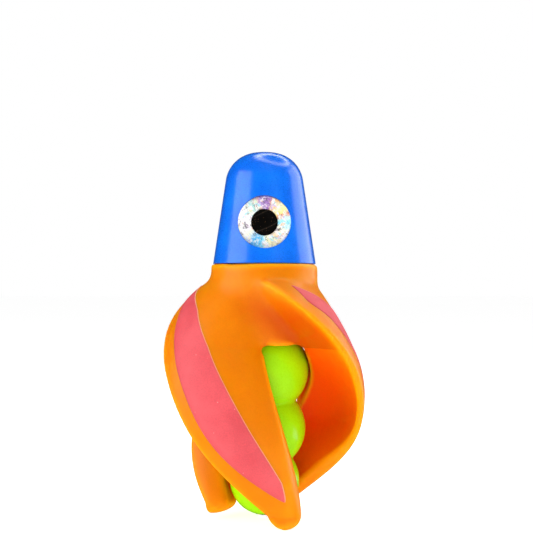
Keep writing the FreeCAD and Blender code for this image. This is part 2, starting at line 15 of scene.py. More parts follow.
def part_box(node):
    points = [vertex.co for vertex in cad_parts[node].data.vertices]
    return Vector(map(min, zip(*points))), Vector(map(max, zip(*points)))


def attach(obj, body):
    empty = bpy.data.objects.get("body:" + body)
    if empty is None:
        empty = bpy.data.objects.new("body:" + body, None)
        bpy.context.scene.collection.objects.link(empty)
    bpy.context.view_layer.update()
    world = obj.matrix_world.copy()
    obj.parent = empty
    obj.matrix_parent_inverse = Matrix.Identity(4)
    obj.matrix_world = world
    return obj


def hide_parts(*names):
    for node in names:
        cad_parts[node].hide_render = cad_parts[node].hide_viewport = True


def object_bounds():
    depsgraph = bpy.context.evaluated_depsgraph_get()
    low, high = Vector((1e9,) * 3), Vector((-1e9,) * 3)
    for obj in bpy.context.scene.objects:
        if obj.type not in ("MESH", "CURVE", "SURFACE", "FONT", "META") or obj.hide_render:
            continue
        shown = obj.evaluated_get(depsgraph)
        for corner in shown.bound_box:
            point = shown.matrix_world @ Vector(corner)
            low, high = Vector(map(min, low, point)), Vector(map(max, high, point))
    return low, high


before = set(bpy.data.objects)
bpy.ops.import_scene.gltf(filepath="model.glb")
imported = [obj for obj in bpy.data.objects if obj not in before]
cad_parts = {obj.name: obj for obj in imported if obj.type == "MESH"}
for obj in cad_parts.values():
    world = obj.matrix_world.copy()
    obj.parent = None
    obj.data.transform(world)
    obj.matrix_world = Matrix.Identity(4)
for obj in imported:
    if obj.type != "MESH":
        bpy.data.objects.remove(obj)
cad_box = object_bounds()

MM = 0.001
HEAD = "head_and_core"
SPINNER = "spinner"


def corner(node, end):
    """Lowest (0) or highest (1) corner of a CAD node, in millimetres."""
    return np.array(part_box(node)[end]) / MM


# ---------------------------------------------------------------- driving sizes

LIP = corner("head_shell", 0)[2]
FRONT_STRETCH = 0.2
TIP_DROP = LIP - corner("spinner_cage", 0)[2] - FRONT_STRETCH
NOSE = corner("leader_tube", 1)[2]
TURNS = 128

HEAD_BASE = corner("head_shell", 1)[0]
HEAD_CROWN = 6.75
CROWN_FILLET = 6.2
HEAD_WALL = 2.4
CAVITY_RADIUS = corner("head_plug", 1)[0]
NOSE_HOLE = corner("nose_grommet", 1)[0]

EYE_RADIUS = 5.0
EYE_TILT = 3.0
EYE_SEAT = 7.3
EYE_HEIGHT = 56.2
FOIL = 0.25
PUPIL_RADIUS = corner("eye_front_pupil", 1)[0]
DOME_WALL = 0.45
DOME_RISE = 0.75

BALLS = ((8.6, 28.1), (8.0, 16.7), (6.8, 6.6))
WAIST_FILLET = 0.55
STEM_RADIUS = 3.0
CLIP_GROOVE = 0.5
BORE_RADIUS = corner("leader_tube", 1)[0]

ARM_STEP = 120.0
ARMS = {"a": -ARM_STEP, "b": 0.0, "c": ARM_STEP}


def ease(value, low, high):
    """0 below low, 1 above high, smooth between."""
    part = np.clip((value - low) / (high - low), 0.0, 1.0)
    return part * part * (3.0 - 2.0 * part)


def polar(radius, angle):
    """Points at angles in degrees from -Y towards +X."""
    turn = np.radians(angle)
    return np.stack([radius * np.sin(turn), -radius * np.cos(turn)], axis=-1)


# ---------------------------------------------------------------- mesh helpers

def to_object(name, points, faces):
    """A smooth-shaded object from points in millimetres."""
    mesh = bpy.data.meshes.new(name)
    mesh.from_pydata((np.asarray(points) * MM).tolist(), [], [list(face) for face in faces])
    mesh.validate()
    mesh.polygons.foreach_set("use_smooth", [True] * len(mesh.polygons))
    mesh.update()
    obj = bpy.data.objects.new(name, mesh)
    bpy.context.scene.collection.objects.link(obj)
    return obj


def loop_faces(rings, count, closed_rings=False, wrap=True):
    """Quads between rings of `count` points each."""
    faces = []
    for ring in range(rings if closed_rings else rings - 1):
        near = ring * count
        far = ((ring + 1) % rings) * count
        for index in range(count if wrap else count - 1):
            after = (index + 1) % count
            faces.append((near + index, near + after, far + after, far + index))
    return faces


def revolve(outline, turns=TURNS, closed=True):
    """Points and faces of an outline of (radius, height) turned about the axis."""
    outline = np.asarray(outline, float)
    angles = np.arange(turns) * 360.0 / turns
    points = []
    for radius, height in outline:
        ring = polar(radius, angles)
        points.append(np.column_stack([ring, np.full(turns, height)]))
    faces = loop_faces(len(outline), turns, closed_rings=closed)
    return np.concatenate(points), faces


def arc(centre, radius, start, stop, count):
    """Points of (radius, height) round an arc, angles in degrees from outwards towards up."""
    turn = np.radians(np.linspace(start, stop, count))
    return [(centre[0] + radius * math.cos(t), centre[1] + radius * math.sin(t)) for t in turn]


def divide(outline, step):
    """Add points to a closed outline so that none of its runs is longer than step."""
    dense = []
    for (r0, z0), (r1, z1) in zip(outline, outline[1:] + outline[:1]):
        count = max(1, round(math.hypot(r1 - r0, z1 - z0) / step))
        dense += [(r0 + (r1 - r0) * i / count, z0 + (z1 - z0) * i / count) for i in range(count)]
    return dense


def remesh(obj, voxel):
    """Fuse a piece's overlapping shells into one skin of even quads, and return its points."""
    modifier = obj.modifiers.new("fuse", "REMESH")
    modifier.mode = "VOXEL"
    modifier.voxel_size = voxel * MM
    bpy.context.view_layer.update()
    graph = bpy.context.evaluated_depsgraph_get()
    fused = bpy.data.meshes.new_from_object(obj.evaluated_get(graph))
    obj.modifiers.clear()
    points = np.zeros(len(fused.vertices) * 3)
    fused.vertices.foreach_get("co", points)
    obj.data = fused
    return points.reshape(-1, 3) / MM


def write_points(obj, points):
    obj.data.vertices.foreach_set("co", (points * MM).ravel())
    obj.data.polygons.foreach_set("use_smooth", [True] * len(obj.data.polygons))
    obj.data.update()


def relax(obj, points, weight, rounds):
    """Move each point towards the mean of its neighbours, by its weight, a number of times."""
    edges = np.zeros(len(obj.data.edges) * 2, int)
    obj.data.edges.foreach_get("vertices", edges)
    edges = edges.reshape(-1, 2)
    ends = np.concatenate([edges[:, 0], edges[:, 1]])
    others = np.concatenate([edges[:, 1], edges[:, 0]])
    degree = np.bincount(ends, minlength=len(points))
    weight = np.broadcast_to(weight, len(points))[:, None]
    for _ in range(rounds):
        mean = np.stack([np.bincount(ends, points[others, axis], len(points)) for axis in range(3)], 1)
        points = points + weight * (mean / degree[:, None] - points)
    return points


def polish(obj, points, rounds):
    """Smooth out ripples without shrinking: inward and outward steps in turn."""
    for _ in range(rounds):
        points = relax(obj, points, 0.5, 1)
        points = relax(obj, points, -0.52, 1)
    return points


def snap(points, tree, weight):
    """Draw each point, by its weight, back onto a surface close to it."""
    nearest = np.array([tree.find_nearest(point)[0] for point in (points * MM).tolist()]) / MM
    step = nearest - points
    near = np.linalg.norm(step, axis=1) < 0.4
    return points + step * (weight * near)[:, None]


def distances(points, tree):
    """Distance in millimetres from each point to a surface."""
    return np.array([tree.find_nearest(point)[3] for point in (points * MM).tolist()]) / MM


def tree_of(points, faces):
    return BVHTree.FromPolygons((np.asarray(points) * MM).tolist(), [list(face) for face in faces])


# ---------------------------------------------------------------- cage shape

HUB_LIP = 10.4
HUB_FOOT = 9.65
HUB_FOOT_DROP = 15.4
HUB_WAIST_DROP = 4.0
LIP_ROUND = 0.45
FOOT_ROUND = 0.35
HEAD_GAP = 0.05
CUP_RADIUS = BALLS[0][0] + 0.3
BUSH_RADIUS = corner("hub_bush", 1)[0]
WASHER_RECESS = corner("thrust_washer", 1)[0] + 0.3
WASHER = 0.5

LEAD_START_DROP = 2.5
LEAD_START_ANGLE = -24.5
LEAD_SWEEP = 113.0
LEAD_SWEEP_DROP = 40.0
LEAD_SWEEP_POWER = 0.445
LEAD_KICK = 38.5
LEAD_KICK_POWER = 6.0
BELLY_RADIUS = 20.5
BELLY_DROP = 20.6
BELLY_RISE = 20.9
LEAD_TIP_RADIUS = 7.4
LEAD_FALL_POWER = 2.35
LEAD_FALL_SHAPE = 1.25
EDGE_THICKNESS = (0.35, 1.1, 4.2)
EDGE_DROPS = (4.0, 18.0, 30.0, 46.0)
TRAIL_ANGLE = -20.0
TRAIL_TWIST = 1.11
TRAIL_TOP_RADIUS = 9.1
TRAIL_TIP_RADIUS = 12.2
TRAIL_BULGE = 3.8
TRAIL_SQUARE = (4.0, 2.2)
TRAIL_ROUND = (0.9, 2.2)
TRAIL_ROUND_DROPS = (28.0, 38.0)
BLADE_CROWN = 1.43
SEAM_ANGLE = -46.0
SEAM_TWIST = 6.1
SEAM_MARGIN = 5.0
SEAM_BLEND = 6.0
SEAM_DROPS = (24.0, 30.0)
BAR_DROPS = (30.0, 40.0)
BAR_BULGE = 0.8
ROOT_RADIUS = 8.0
ROOT_DROPS = (12.0, 17.0)
BORE = 9.0
TIP_BORE = 8.6
TIP_BORE_DROPS = (36.0, 46.0)
TIP_SHAPE_DROP = 47.0
TIP_ROUND_DROP = 46.3
TIP_CENTRE = polar(10.5, 20.5 + ARM_STEP)
TIP_SIDES = 3.0
BLADE_TOP_DROP = 1.0
BLADE_STATIONS = 80
TIP_STATIONS = 14
OUTER_POINTS = 40
FACE_POINTS = 22
BORE_POINTS = 12
CAP_POINTS = 13

# how each soft arm departs from the common shape at its tip: degrees further round, and millimetres longer
ARM_TWIST = {"a": 0.0, "b": 9.0, "c": 8.0}
TWIST_DROPS = (28.0, TIP_DROP)
ARM_PINCH = {"a": 1.0, "b": 1.0, "c": 0.56}
PINCH_DROPS = (28.0, 38.0)
STRETCH_DROP = 30.0
ARM_STRETCH = {"a": FRONT_STRETCH, "b": 0.0, "c": -0.7}

CAGE_VOXEL = 0.34
FILLET_REACH = 2.4
FILLET_ROUNDS = 60


def leading_edge(drop):
    """Radius and angle of a blade's leading edge: an ellipse over the belly, then a fall to the tip."""
    sweep = max((drop - LEAD_START_DROP) / LEAD_SWEEP_DROP, 0.0)
    angle = LEAD_START_ANGLE + LEAD_SWEEP * sweep ** LEAD_SWEEP_POWER
    if drop <= BELLY_DROP:
        return BELLY_RADIUS * math.sqrt(1 - ((BELLY_DROP - drop) / BELLY_RISE) ** 2), angle
    fall = (drop - BELLY_DROP) / (TIP_DROP - BELLY_DROP)
    angle += LEAD_KICK * fall ** LEAD_KICK_POWER
    shape = (1 - fall ** LEAD_FALL_POWER) ** LEAD_FALL_SHAPE
    return LEAD_TIP_RADIUS + (BELLY_RADIUS - LEAD_TIP_RADIUS) * shape, angle


def trailing_edge(drop):
    """Radius and angle of a blade's outer trailing corner, and the radius of its inner one."""
    angle = TRAIL_ANGLE + TRAIL_TWIST * drop + ARM_STEP
    along = max((drop - HUB_FOOT_DROP) / (TIP_DROP - HUB_FOOT_DROP), 0.0)
    radius = TRAIL_TOP_RADIUS + (TRAIL_TIP_RADIUS - TRAIL_TOP_RADIUS) * along
    radius += TRAIL_BULGE * 4 * along * (1 - along)
    inner = ROOT_RADIUS + (BORE - ROOT_RADIUS) * ease(drop, *ROOT_DROPS)
    inner += (TIP_BORE - BORE) * ease(drop, *TIP_BORE_DROPS)
    return radius, angle, inner


def outer_curve(drop, along):
    """Outer face of the blade at shares `along` of the way from its leading to its trailing edge."""
    lead_radius, lead_angle = leading_edge(drop)
    trail_radius, trail_angle, _ = trailing_edge(drop)
    along = np.asarray(along, float)
    radius = lead_radius + (trail_radius - lead_radius) * along ** BLADE_CROWN
    return polar(radius, lead_angle + (trail_angle - lead_angle) * along)


def angle_of(point):
    """Angle of a point, from 90 degrees before -Y to 270 after."""
    angle = math.degrees(math.atan2(point[0], -point[1]))
    return angle if angle > -90 else angle + 360


def bezier(controls, share):
    """Points of a Bezier curve of any degree."""
    share = np.asarray(share, float)[:, None]
    points = [np.broadcast_to(np.asarray(c, float), (len(share), 2)) for c in controls]
    while len(points) > 1:
        points = [a * (1 - share) + b * share for a, b in zip(points, points[1:])]
    return points[0]


def unit(vector):
    return vector / np.linalg.norm(vector)


def inner_curve(drop):
    """Inner side of the blade in two runs: the leading face, from its edge to the bore, and the bore side."""
    trail_radius, trail_angle, inner_radius = trailing_edge(drop)
    lead = outer_curve(drop, 0.0)
    tangent = unit(outer_curve(drop, 0.004) - lead)
    inward = np.array([tangent[1], -tangent[0]])
    inward *= -np.sign(inward @ lead)
    thin, full, tip = EDGE_THICKNESS
    thickness = thin + (full - thin) * ease(drop, *EDGE_DROPS[:2])
    thickness += (tip - full) * ease(drop, *EDGE_DROPS[2:])
    edge = lead + inward * thickness
    # the trailing face lies along the radius through the middle of the arm's own gap
    across = trail_radius * math.sin(math.radians(trail_angle - ARM_STEP))
    corner_angle = math.degrees(math.asin(across / inner_radius)) + ARM_STEP
    corner = polar(inner_radius, corner_angle)
    edge_radius, edge_angle = np.linalg.norm(edge), angle_of(edge)
    # the face winds in to meet the bore: ahead of the edge beside the hub, far behind it lower down
    seam = SEAM_ANGLE + SEAM_TWIST * drop
    last = corner_angle - SEAM_MARGIN
    seam = last - SEAM_BLEND * math.log1p(math.exp((last - seam) / SEAM_BLEND))
    seam_radius = BORE + (inner_radius - BORE) * ease(drop, *SEAM_DROPS)
    lag = seam - edge_angle
    bow = 0.42 + 0.20 * math.tanh(lag / 30.0)
    knee = (seam_radius + (edge_radius - seam_radius) * 0.6, edge_angle + lag * bow)
    turns = np.linspace(0, 1, FACE_POINTS)
    wound = bezier([(edge_radius, edge_angle), knee, (seam_radius, seam)], turns)
    wound_face = polar(wound[:, 0], wound[:, 1])
    runs = np.linspace(0, 1, BORE_POINTS)
    wound_bore = polar(seam_radius + (inner_radius - seam_radius) * runs, seam + (corner_angle - seam) * runs)
    # near the tip the arm is a plain bar, its inner side a soft curve from edge to corner
    bulge = (edge + corner) / 2 + unit((edge + corner) / 2) * BAR_BULGE
    bar = bezier([edge, bulge, corner], np.concatenate([turns * 0.8, 0.8 + runs * 0.2]))
    near_tip = ease(drop, *BAR_DROPS)
    face = wound_face + (bar[:FACE_POINTS] - wound_face) * near_tip
    bore = wound_bore + (bar[FACE_POINTS:] - wound_bore) * near_tip
    return face, bore, thickness


def blade_section(drop):
    """A closed ring of points round the blade at one drop."""
    shape_drop = min(drop, TIP_SHAPE_DROP)
    face, bore, thickness = inner_curve(shape_drop)
    rounding = ease(drop, *TRAIL_ROUND_DROPS)
    trail_round = TRAIL_ROUND[0] + (TRAIL_ROUND[1] - TRAIL_ROUND[0]) * rounding
    square = TRAIL_SQUARE[0] + (TRAIL_SQUARE[1] - TRAIL_SQUARE[0]) * rounding
    span = np.linalg.norm(outer_curve(shape_drop, 1.0) - outer_curve(shape_drop, 0.0))
    nose = max(0.35, 0.62 * thickness)
    first = nose / span
    last = 1 - trail_round / span
    outer = outer_curve(shape_drop, np.linspace(first, last, OUTER_POINTS))
    face_run = np.concatenate([[0], np.cumsum(np.linalg.norm(np.diff(face, axis=0), axis=1))])
    kept = np.linspace(nose, face_run[-1], FACE_POINTS)
    face_cut = np.column_stack([np.interp(kept, face_run, face[:, axis]) for axis in range(2)])
    cap_turns = np.linspace(0, 1, CAP_POINTS + 2)[1:-1]
    lead_cap = bezier([face_cut[0], face[0], outer_curve(shape_drop, 0.0), outer[0]], cap_turns)

    def squared(value):
        return (np.sign(value) * abs(value) ** (2 / square))[:, None]

    bore_end = bore[-1] + unit(bore[-2] - bore[-1]) * trail_round
    bore_run = bore[:-1][np.linalg.norm(bore[:-1] - bore[-1], axis=1) > trail_round]
    bore_path = np.concatenate([face[-1:], bore_run, [bore_end]])
    run = np.concatenate([[0], np.cumsum(np.linalg.norm(np.diff(bore_path, axis=0), axis=1))])
    spots = np.linspace(0, run[-1], BORE_POINTS + 1)[1:]
    bore_cut = np.column_stack([np.interp(spots, run, bore_path[:, axis]) for axis in range(2)])
    middle = (outer[-1] + bore_end) / 2
    out = (outer_curve(shape_drop, 1.0) + bore[-1]) / 2 - middle
    turns = cap_turns * math.pi
    trail_cap = middle + (outer[-1] - bore_end) / 2 * squared(np.cos(turns)) + out * squared(np.sin(turns))
    points = np.concatenate([outer, trail_cap, bore_cut[::-1], face_cut[::-1], lead_cap])
    if drop > TIP_ROUND_DROP:
        share = (drop - TIP_ROUND_DROP) / (TIP_DROP - TIP_ROUND_DROP)
        # the leading side comes in as a straight slope, the trailing side as a tight round
        radius = np.linalg.norm(TIP_CENTRE)
        along = (points @ np.array([-TIP_CENTRE[1], TIP_CENTRE[0]])) / radius
        side = ease(along, -TIP_SIDES, TIP_SIDES)[:, None]
        slope = math.sqrt(max(1 - share ** 2, 0.004))
        bend = math.sqrt(max(1 - share ** 3, 0.004))
        points = TIP_CENTRE + (points - TIP_CENTRE) * (slope + (bend - slope) * side)
    return np.column_stack([points, np.full(len(points), LIP - drop)])


def turned(points, angle):
    """Points turned about the axis by an angle, or by one angle each."""
    turn = np.radians(angle)
    x = points[:, 0] * np.cos(turn) - points[:, 1] * np.sin(turn)
    y = points[:, 0] * np.sin(turn) + points[:, 1] * np.cos(turn)
    return np.column_stack([x, y, points[:, 2]])


def pinched(points, drop, narrow):
    """Points of a blade drawn towards its trailing end below the belly, which slims that arm's tip."""
    levels = np.linspace(0, TIP_DROP, 100)
    edges = [trailing_edge(level) for level in levels]
    trail_radius = np.interp(drop, levels, [edge[0] for edge in edges])
    trail_angle = np.interp(drop, levels, [edge[1] for edge in edges])
    anchor = polar(trail_radius - 1.0, trail_angle)
    scale = 1 + (narrow - 1) * ease(drop, *PINCH_DROPS)[:, None]
    radial = anchor / np.linalg.norm(anchor, axis=1, keepdims=True)
    offset = points[:, :2] - anchor
    out = (offset * radial).sum(1, keepdims=True) * radial
    return np.column_stack([anchor + out + (offset - out) * scale, points[:, 2]])


def arm_lean(letter, points, way=1):
    """Turn a blade's points into arm `letter`, with its own lean and length, or back again with way -1."""
    drop = LIP - points[:, 2]
    if way > 0 and ARM_PINCH[letter] < 1:
        points = pinched(points, drop, ARM_PINCH[letter])
    points = turned(points, way * (ARMS[letter] + ARM_TWIST[letter] * ease(drop, *TWIST_DROPS)))
    points[:, 2] -= way * ARM_STRETCH[letter] * ease(drop, STRETCH_DROP, TIP_DROP)
    return points


def arm_shell(letter):
    tip = TIP_ROUND_DROP + (TIP_DROP - TIP_ROUND_DROP) * np.sin(np.linspace(0, math.pi / 2, TIP_STATIONS)[1:])
    drops = np.concatenate([np.linspace(BLADE_TOP_DROP, TIP_ROUND_DROP, BLADE_STATIONS), tip])
    sections = [blade_section(drop) for drop in drops]
    count = len(sections[0])
    faces = loop_faces(len(sections), count)
    faces.append(list(range(count))[::-1])
    faces.append([(len(sections) - 1) * count + index for index in range(count)])
    return arm_lean(letter, np.concatenate(sections)), faces


def hub_shell():
    """Collar and hub, with the cup for the upper ball, the bush's seat and the washer's recess."""
    top = LIP - HEAD_GAP
    foot = LIP - HUB_FOOT_DROP
    ball_height = BALLS[0][1]
    cup_rim = math.sqrt(CUP_RADIUS ** 2 - (foot - ball_height) ** 2)
    cup_roof = math.sqrt(CUP_RADIUS ** 2 - BUSH_RADIUS ** 2)
    start = math.degrees(math.atan2(foot - ball_height, cup_rim))
    stop = math.degrees(math.atan2(cup_roof, BUSH_RADIUS))
    outline = [(WASHER_RECESS, top - WASHER), (WASHER_RECESS, top)]
    outline += arc((HUB_LIP - LIP_ROUND, top - LIP_ROUND), LIP_ROUND, 90, 0, 6)
    outline += [(HUB_LIP, LIP - HUB_WAIST_DROP)]
    outline += arc((HUB_FOOT - FOOT_ROUND, foot + FOOT_ROUND), FOOT_ROUND, 0, -90, 6)
    outline += arc((0, ball_height), CUP_RADIUS, start, stop, 20)
    outline += [(BUSH_RADIUS, top - WASHER)]
    return revolve(divide(outline, 0.5))


def join(parts):
    """One list of points and faces from several."""
    points = []
    faces = []
    for part_points, part_faces in parts:
        base = sum(len(p) for p in points)
        points.append(part_points)
        faces += [[index + base for index in face] for face in part_faces]
    return np.concatenate(points), faces


FACE_SHADE_FADE = 4.5
VALLEY_SHADE_FADE = 6.0


def painted_shade_shares(points):
    """Two shares per point, masks for painted shade: how far in it lies on an arm's leading face, and how
    near the seam on the hub.
    """
    drops = np.linspace(LEAD_START_DROP, TIP_DROP, 120)
    table = np.array([leading_edge(level) + trailing_edge(level)[:2] for level in drops])
    drop = LIP - points[:, 2]
    lead_radius, lead_angle, trail_radius, trail_angle = (
        np.interp(drop, drops, column) for column in table.T)
    radius = np.hypot(points[:, 0], points[:, 1])
    depth = np.zeros(len(points))
    valley_shade = np.zeros(len(points))
    for letter in ARMS:
        back = arm_lean(letter, points, -1)
        angle = np.degrees(np.arctan2(back[:, 0], -back[:, 1]))
        angle = np.where(angle < lead_angle - 120, angle + 360, angle)
        share = (angle - lead_angle) / (trail_angle - lead_angle)
        held = np.clip(share, 0, 1)
        outer_radius = lead_radius + (trail_radius - lead_radius) * held ** BLADE_CROWN
        below = outer_radius - radius
        inward = np.hypot(lead_radius - radius, radius * np.radians(angle - lead_angle))
        on_arm = ease(below, 0.3, 1.2) * (1 - ease(share, 0.90, 0.99)) * (share > -0.02)
        on_arm *= ease(drop, 2.5, 9.0)
        # painted shade on the leading face, deeper the further in from its edge
        depth = np.maximum(depth, on_arm * (1 - np.exp(-inward / FACE_SHADE_FADE)))
        # painted shade on the hub, just ahead of each arm's seam
        seam = SEAM_ANGLE + SEAM_TWIST * drop
        lag = (seam - angle) * np.radians(radius)
        ahead = ease(radius, HUB_FOOT - 1.6, HUB_FOOT - 0.8) * (drop < HUB_FOOT_DROP + 0.5)
        near = np.exp(-(np.maximum(lag, 0) / VALLEY_SHADE_FADE) ** 2) * ease(lead_radius - radius, 0.2, 3.0)
        valley_shade = np.maximum(valley_shade, ahead * near * (share <= 0.3) * ease(drop, 3.0, 11.0))
    return depth, valley_shade


def convexity(obj, points):
    """Rise of each point over its surroundings, in millimetres: above 0 on rims, below 0 in grooves."""
    normals = np.zeros(len(points) * 3)
    obj.data.vertex_normals.foreach_get("vector", normals)
    return ((points - relax(obj, points, 0.5, 30)) * normals.reshape(-1, 3)).sum(1)


def mark(obj, name, values):
    """Store one number per point for the material to read."""
    attribute = obj.data.attributes.new(name, "FLOAT", "POINT")
    attribute.data.foreach_set("value", np.asarray(values, np.float32))


def make_cage():
    hub = hub_shell()
    arms = join([arm_shell(letter) for letter in ARMS])
    cage = to_object("cage", *join([hub, arms]))
    points = remesh(cage, CAGE_VOXEL)
    from_hub = distances(points, tree_of(*hub))
    from_arm = distances(points, tree_of(*arms))
    # a point close to both the hub and an arm lies on the seam between them, which is moulded with a fillet
    seam = 1 - ease(np.maximum(from_hub, from_arm), 0.2 * FILLET_REACH, FILLET_REACH)
    points = relax(cage, points, 0.5 * seam, FILLET_ROUNDS)
    points = polish(cage, points, 6)
    points = snap(points, tree_of(*join([hub, arms])), 0.85 * (1 - seam))
    points = polish(cage, points, 2)
    write_points(cage, points)
    # masks for painted shade on the arms' inner faces and by the hub seam, and for a painted highlight on
    # rims and thin edges
    depth, valley_shade = painted_shade_shares(points)
    mark(cage, "depth", depth)
    mark(cage, "valley_shade", valley_shade)
    mark(cage, "edge", convexity(cage, points))
    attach(cage, SPINNER)
    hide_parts("spinner_cage")
    return cage


# ---------------------------------------------------------------- stripes

STRIPE_TOP = 4.15
STRIPE_END = 43.3
STRIPE_DEPTH = 0.6
STRIPE_PROUD = 0.14
STRIPE_RIM = 0.16
STRIPE_ROWS = 150
STRIPE_COLUMNS = 26


def stripe_edges(drop):
    """Shares of the blade's width where a stripe starts and stops."""
    taper = max((drop - 25.0) / 18.4, 0.0) ** 3.4
    start = 0.185 - 0.045 * math.exp(-((drop - 7.3) / 1.7) ** 2) + 0.54 * taper
    pinch = 0.165 * (1 - min((drop - STRIPE_TOP) / 4.85, 1.0)) ** 1.5
    stop = 0.345 + 0.01 * drop - pinch + 0.055 * max((drop - 28.0) / 11.0, 0.0) ** 2
    return start, min(stop, 0.80)


def stripe_outline(along):
    """Drop and the two border shares at a share along the stripe; the ends close in a blunt round."""
    drop = STRIPE_TOP + (STRIPE_END - STRIPE_TOP) * along
    start, stop = stripe_edges(drop)
    closing = math.sqrt(max(1 - abs(2 * along - 1) ** 30, 0.0))
    middle = (start + stop) / 2
    half = (stop - start) / 2 * max(closing, 0.02)
    return drop, middle - half, middle + half


def make_stripe(letter, cage_tree):
    """An inlay lying on the finished cage: its crowned top stands a little proud, with rolled borders."""
    rows = []
    spread = (1 - np.cos(np.linspace(0, math.pi, STRIPE_ROWS))) / 2
    spread = 0.5 * spread + 0.5 * np.linspace(0, 1, STRIPE_ROWS)
    for along in spread:
        drop, start, stop = stripe_outline(along)
        outer = outer_curve(drop, start + (stop - start) * np.linspace(0, 1, STRIPE_COLUMNS))
        rows.append(np.column_stack([outer, np.full(STRIPE_COLUMNS, LIP - drop)]))
    flat = arm_lean(letter, np.concatenate(rows))
    grid = flat.reshape(STRIPE_ROWS, STRIPE_COLUMNS, 3)
    down = np.gradient(grid, axis=0)
    across = np.gradient(grid, axis=1)
    normal = np.cross(across, down)
    normal /= np.linalg.norm(normal, axis=-1, keepdims=True) + 1e-12
    radial = grid.copy()
    radial[..., 2] = 0
    normal *= np.sign((normal * radial).sum(-1, keepdims=True))
    normal = normal.reshape(-1, 3)
    base = np.empty_like(flat)
    for index, (point, out) in enumerate(zip(flat, normal)):
        origin = Vector((point + out * 4.0) * MM)
        hit = cage_tree.ray_cast(origin, Vector(-out), 8.0 * MM)[0]
        base[index] = np.array(hit) / MM if hit else point
    across_length = np.linalg.norm(np.diff(grid, axis=1), axis=-1).sum(1)
    down_length = np.linalg.norm(np.diff(grid, axis=0), axis=-1).sum(0).mean()
    from_side = np.minimum(np.linspace(0, 1, STRIPE_COLUMNS), np.linspace(1, 0, STRIPE_COLUMNS))
    from_end = np.minimum(spread, 1 - spread) * down_length
    inset = np.minimum(from_side[None, :] * across_length[:, None], from_end[:, None] * 1.0)
    crown = STRIPE_PROUD * np.sqrt(1 - (1 - np.clip(inset / STRIPE_RIM, 0, 1)) ** 2)
    top = base + normal * (crown.reshape(-1, 1) - 0.02)
    low = base - normal * STRIPE_DEPTH
    count = STRIPE_ROWS * STRIPE_COLUMNS
    sheet = loop_faces(STRIPE_ROWS, STRIPE_COLUMNS, wrap=False)
    faces = list(sheet) + [[index + count for index in face[::-1]] for face in sheet]
    border = [(0, column) for column in range(STRIPE_COLUMNS)]
    border += [(row, STRIPE_COLUMNS - 1) for row in range(1, STRIPE_ROWS)]
    border += [(STRIPE_ROWS - 1, column) for column in range(STRIPE_COLUMNS - 2, -1, -1)]
    border += [(row, 0) for row in range(STRIPE_ROWS - 2, 0, -1)]
    rim = [row * STRIPE_COLUMNS + column for row, column in border]
    for one, two in zip(rim, rim[1:] + rim[:1]):
        faces.append([two, one, one + count, two + count])
    stripe = to_object("stripe_" + letter, np.concatenate([top, low]), faces)
    # distances from the two borders, for a painted highlight along the trailing border and painted shade
    # along the leading one
    side = (np.linspace(1, 0, STRIPE_COLUMNS)[None, :] * across_length[:, None]).ravel()
    lead_side = (np.linspace(0, 1, STRIPE_COLUMNS)[None, :] * across_length[:, None]).ravel()
    mark(stripe, "highlight_from_trail", np.concatenate([side, side]))
    mark(stripe, "shade_from_lead", np.concatenate([lead_side, lead_side]))
    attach(stripe, SPINNER)
    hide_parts("arm_inlay_" + letter)
    return stripe


# ---------------------------------------------------------------- head, eyes and core

def head_outline():
    """Wall of the head as a closed outline, its outer side first."""
    slope = math.atan2(HEAD_BASE - HEAD_CROWN, NOSE - LIP)
    lean = math.degrees(slope)
    centre_z = NOSE - CROWN_FILLET
    centre_r = HEAD_BASE - (centre_z - LIP) * math.tan(slope) - CROWN_FILLET / math.cos(slope)
    hole_turn = math.degrees(math.acos((NOSE_HOLE - centre_r) / CROWN_FILLET))
    roof = NOSE - HEAD_WALL
    base_round = 0.12
    outline = [(CAVITY_RADIUS, LIP)]
    outline += arc((HEAD_BASE - base_round, LIP + base_round), base_round, -90, lean, 6)
    outline += arc((centre_r, centre_z), CROWN_FILLET, lean, hole_turn, 40)
    outline += [(NOSE_HOLE, roof)]
    roof_radius = HEAD_CROWN - HEAD_WALL
    outline += arc((roof_radius - 2.0, roof - 2.0), 2.0, 90, 0, 8)
    plug_top = corner("head_plug", 1)[2]
    outline += [(CAVITY_RADIUS - 0.4, plug_top), (CAVITY_RADIUS, plug_top)]
    return divide(outline, 0.6)


def eye_matrix(side):
    """Place of an eye's seat: +Z out of the head and +Y up. side is 1 in front, -1 behind."""
    tilt = math.radians(EYE_TILT)
    out = Vector((0, -side * math.cos(tilt), math.sin(tilt)))
    right = Vector((side, 0, 0))
    up = out.cross(right)
    turn = Matrix((right, up, out)).transposed().to_4x4()
    return Matrix.Translation(Vector((0, -side * EYE_SEAT, EYE_HEIGHT)) * MM) @ turn


def make_head():
    head = to_object("head", *revolve(head_outline()))
    cutters = []
    for side in (1, -1):
        cutter = to_object("pocket", *disc(EYE_RADIUS, 0.0, 4.0))
        cutter.matrix_world = eye_matrix(side)
        modifier = head.modifiers.new("pocket", "BOOLEAN")
        modifier.operation = "DIFFERENCE"
        modifier.solver = "EXACT"
        modifier.object = cutter
        cutters.append(cutter)
    bpy.context.view_layer.update()
    graph = bpy.context.evaluated_depsgraph_get()
    pocketed = bpy.data.meshes.new_from_object(head.evaluated_get(graph))
    head.modifiers.clear()
    head.data = pocketed
    pocketed.set_sharp_from_angle(angle=math.radians(35))
    for cutter in cutters:
        bpy.data.objects.remove(cutter)
    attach(head, HEAD)
    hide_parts("head_shell")
    return head


def disc(radius, low, high, turns=64):
    """A plain closed cylinder about +Z."""
    points, faces = revolve([(radius, low), (radius, high)], turns, closed=False)
    faces.append(list(range(turns))[::-1])
    faces.append(list(range(turns, 2 * turns)))
    return points, faces


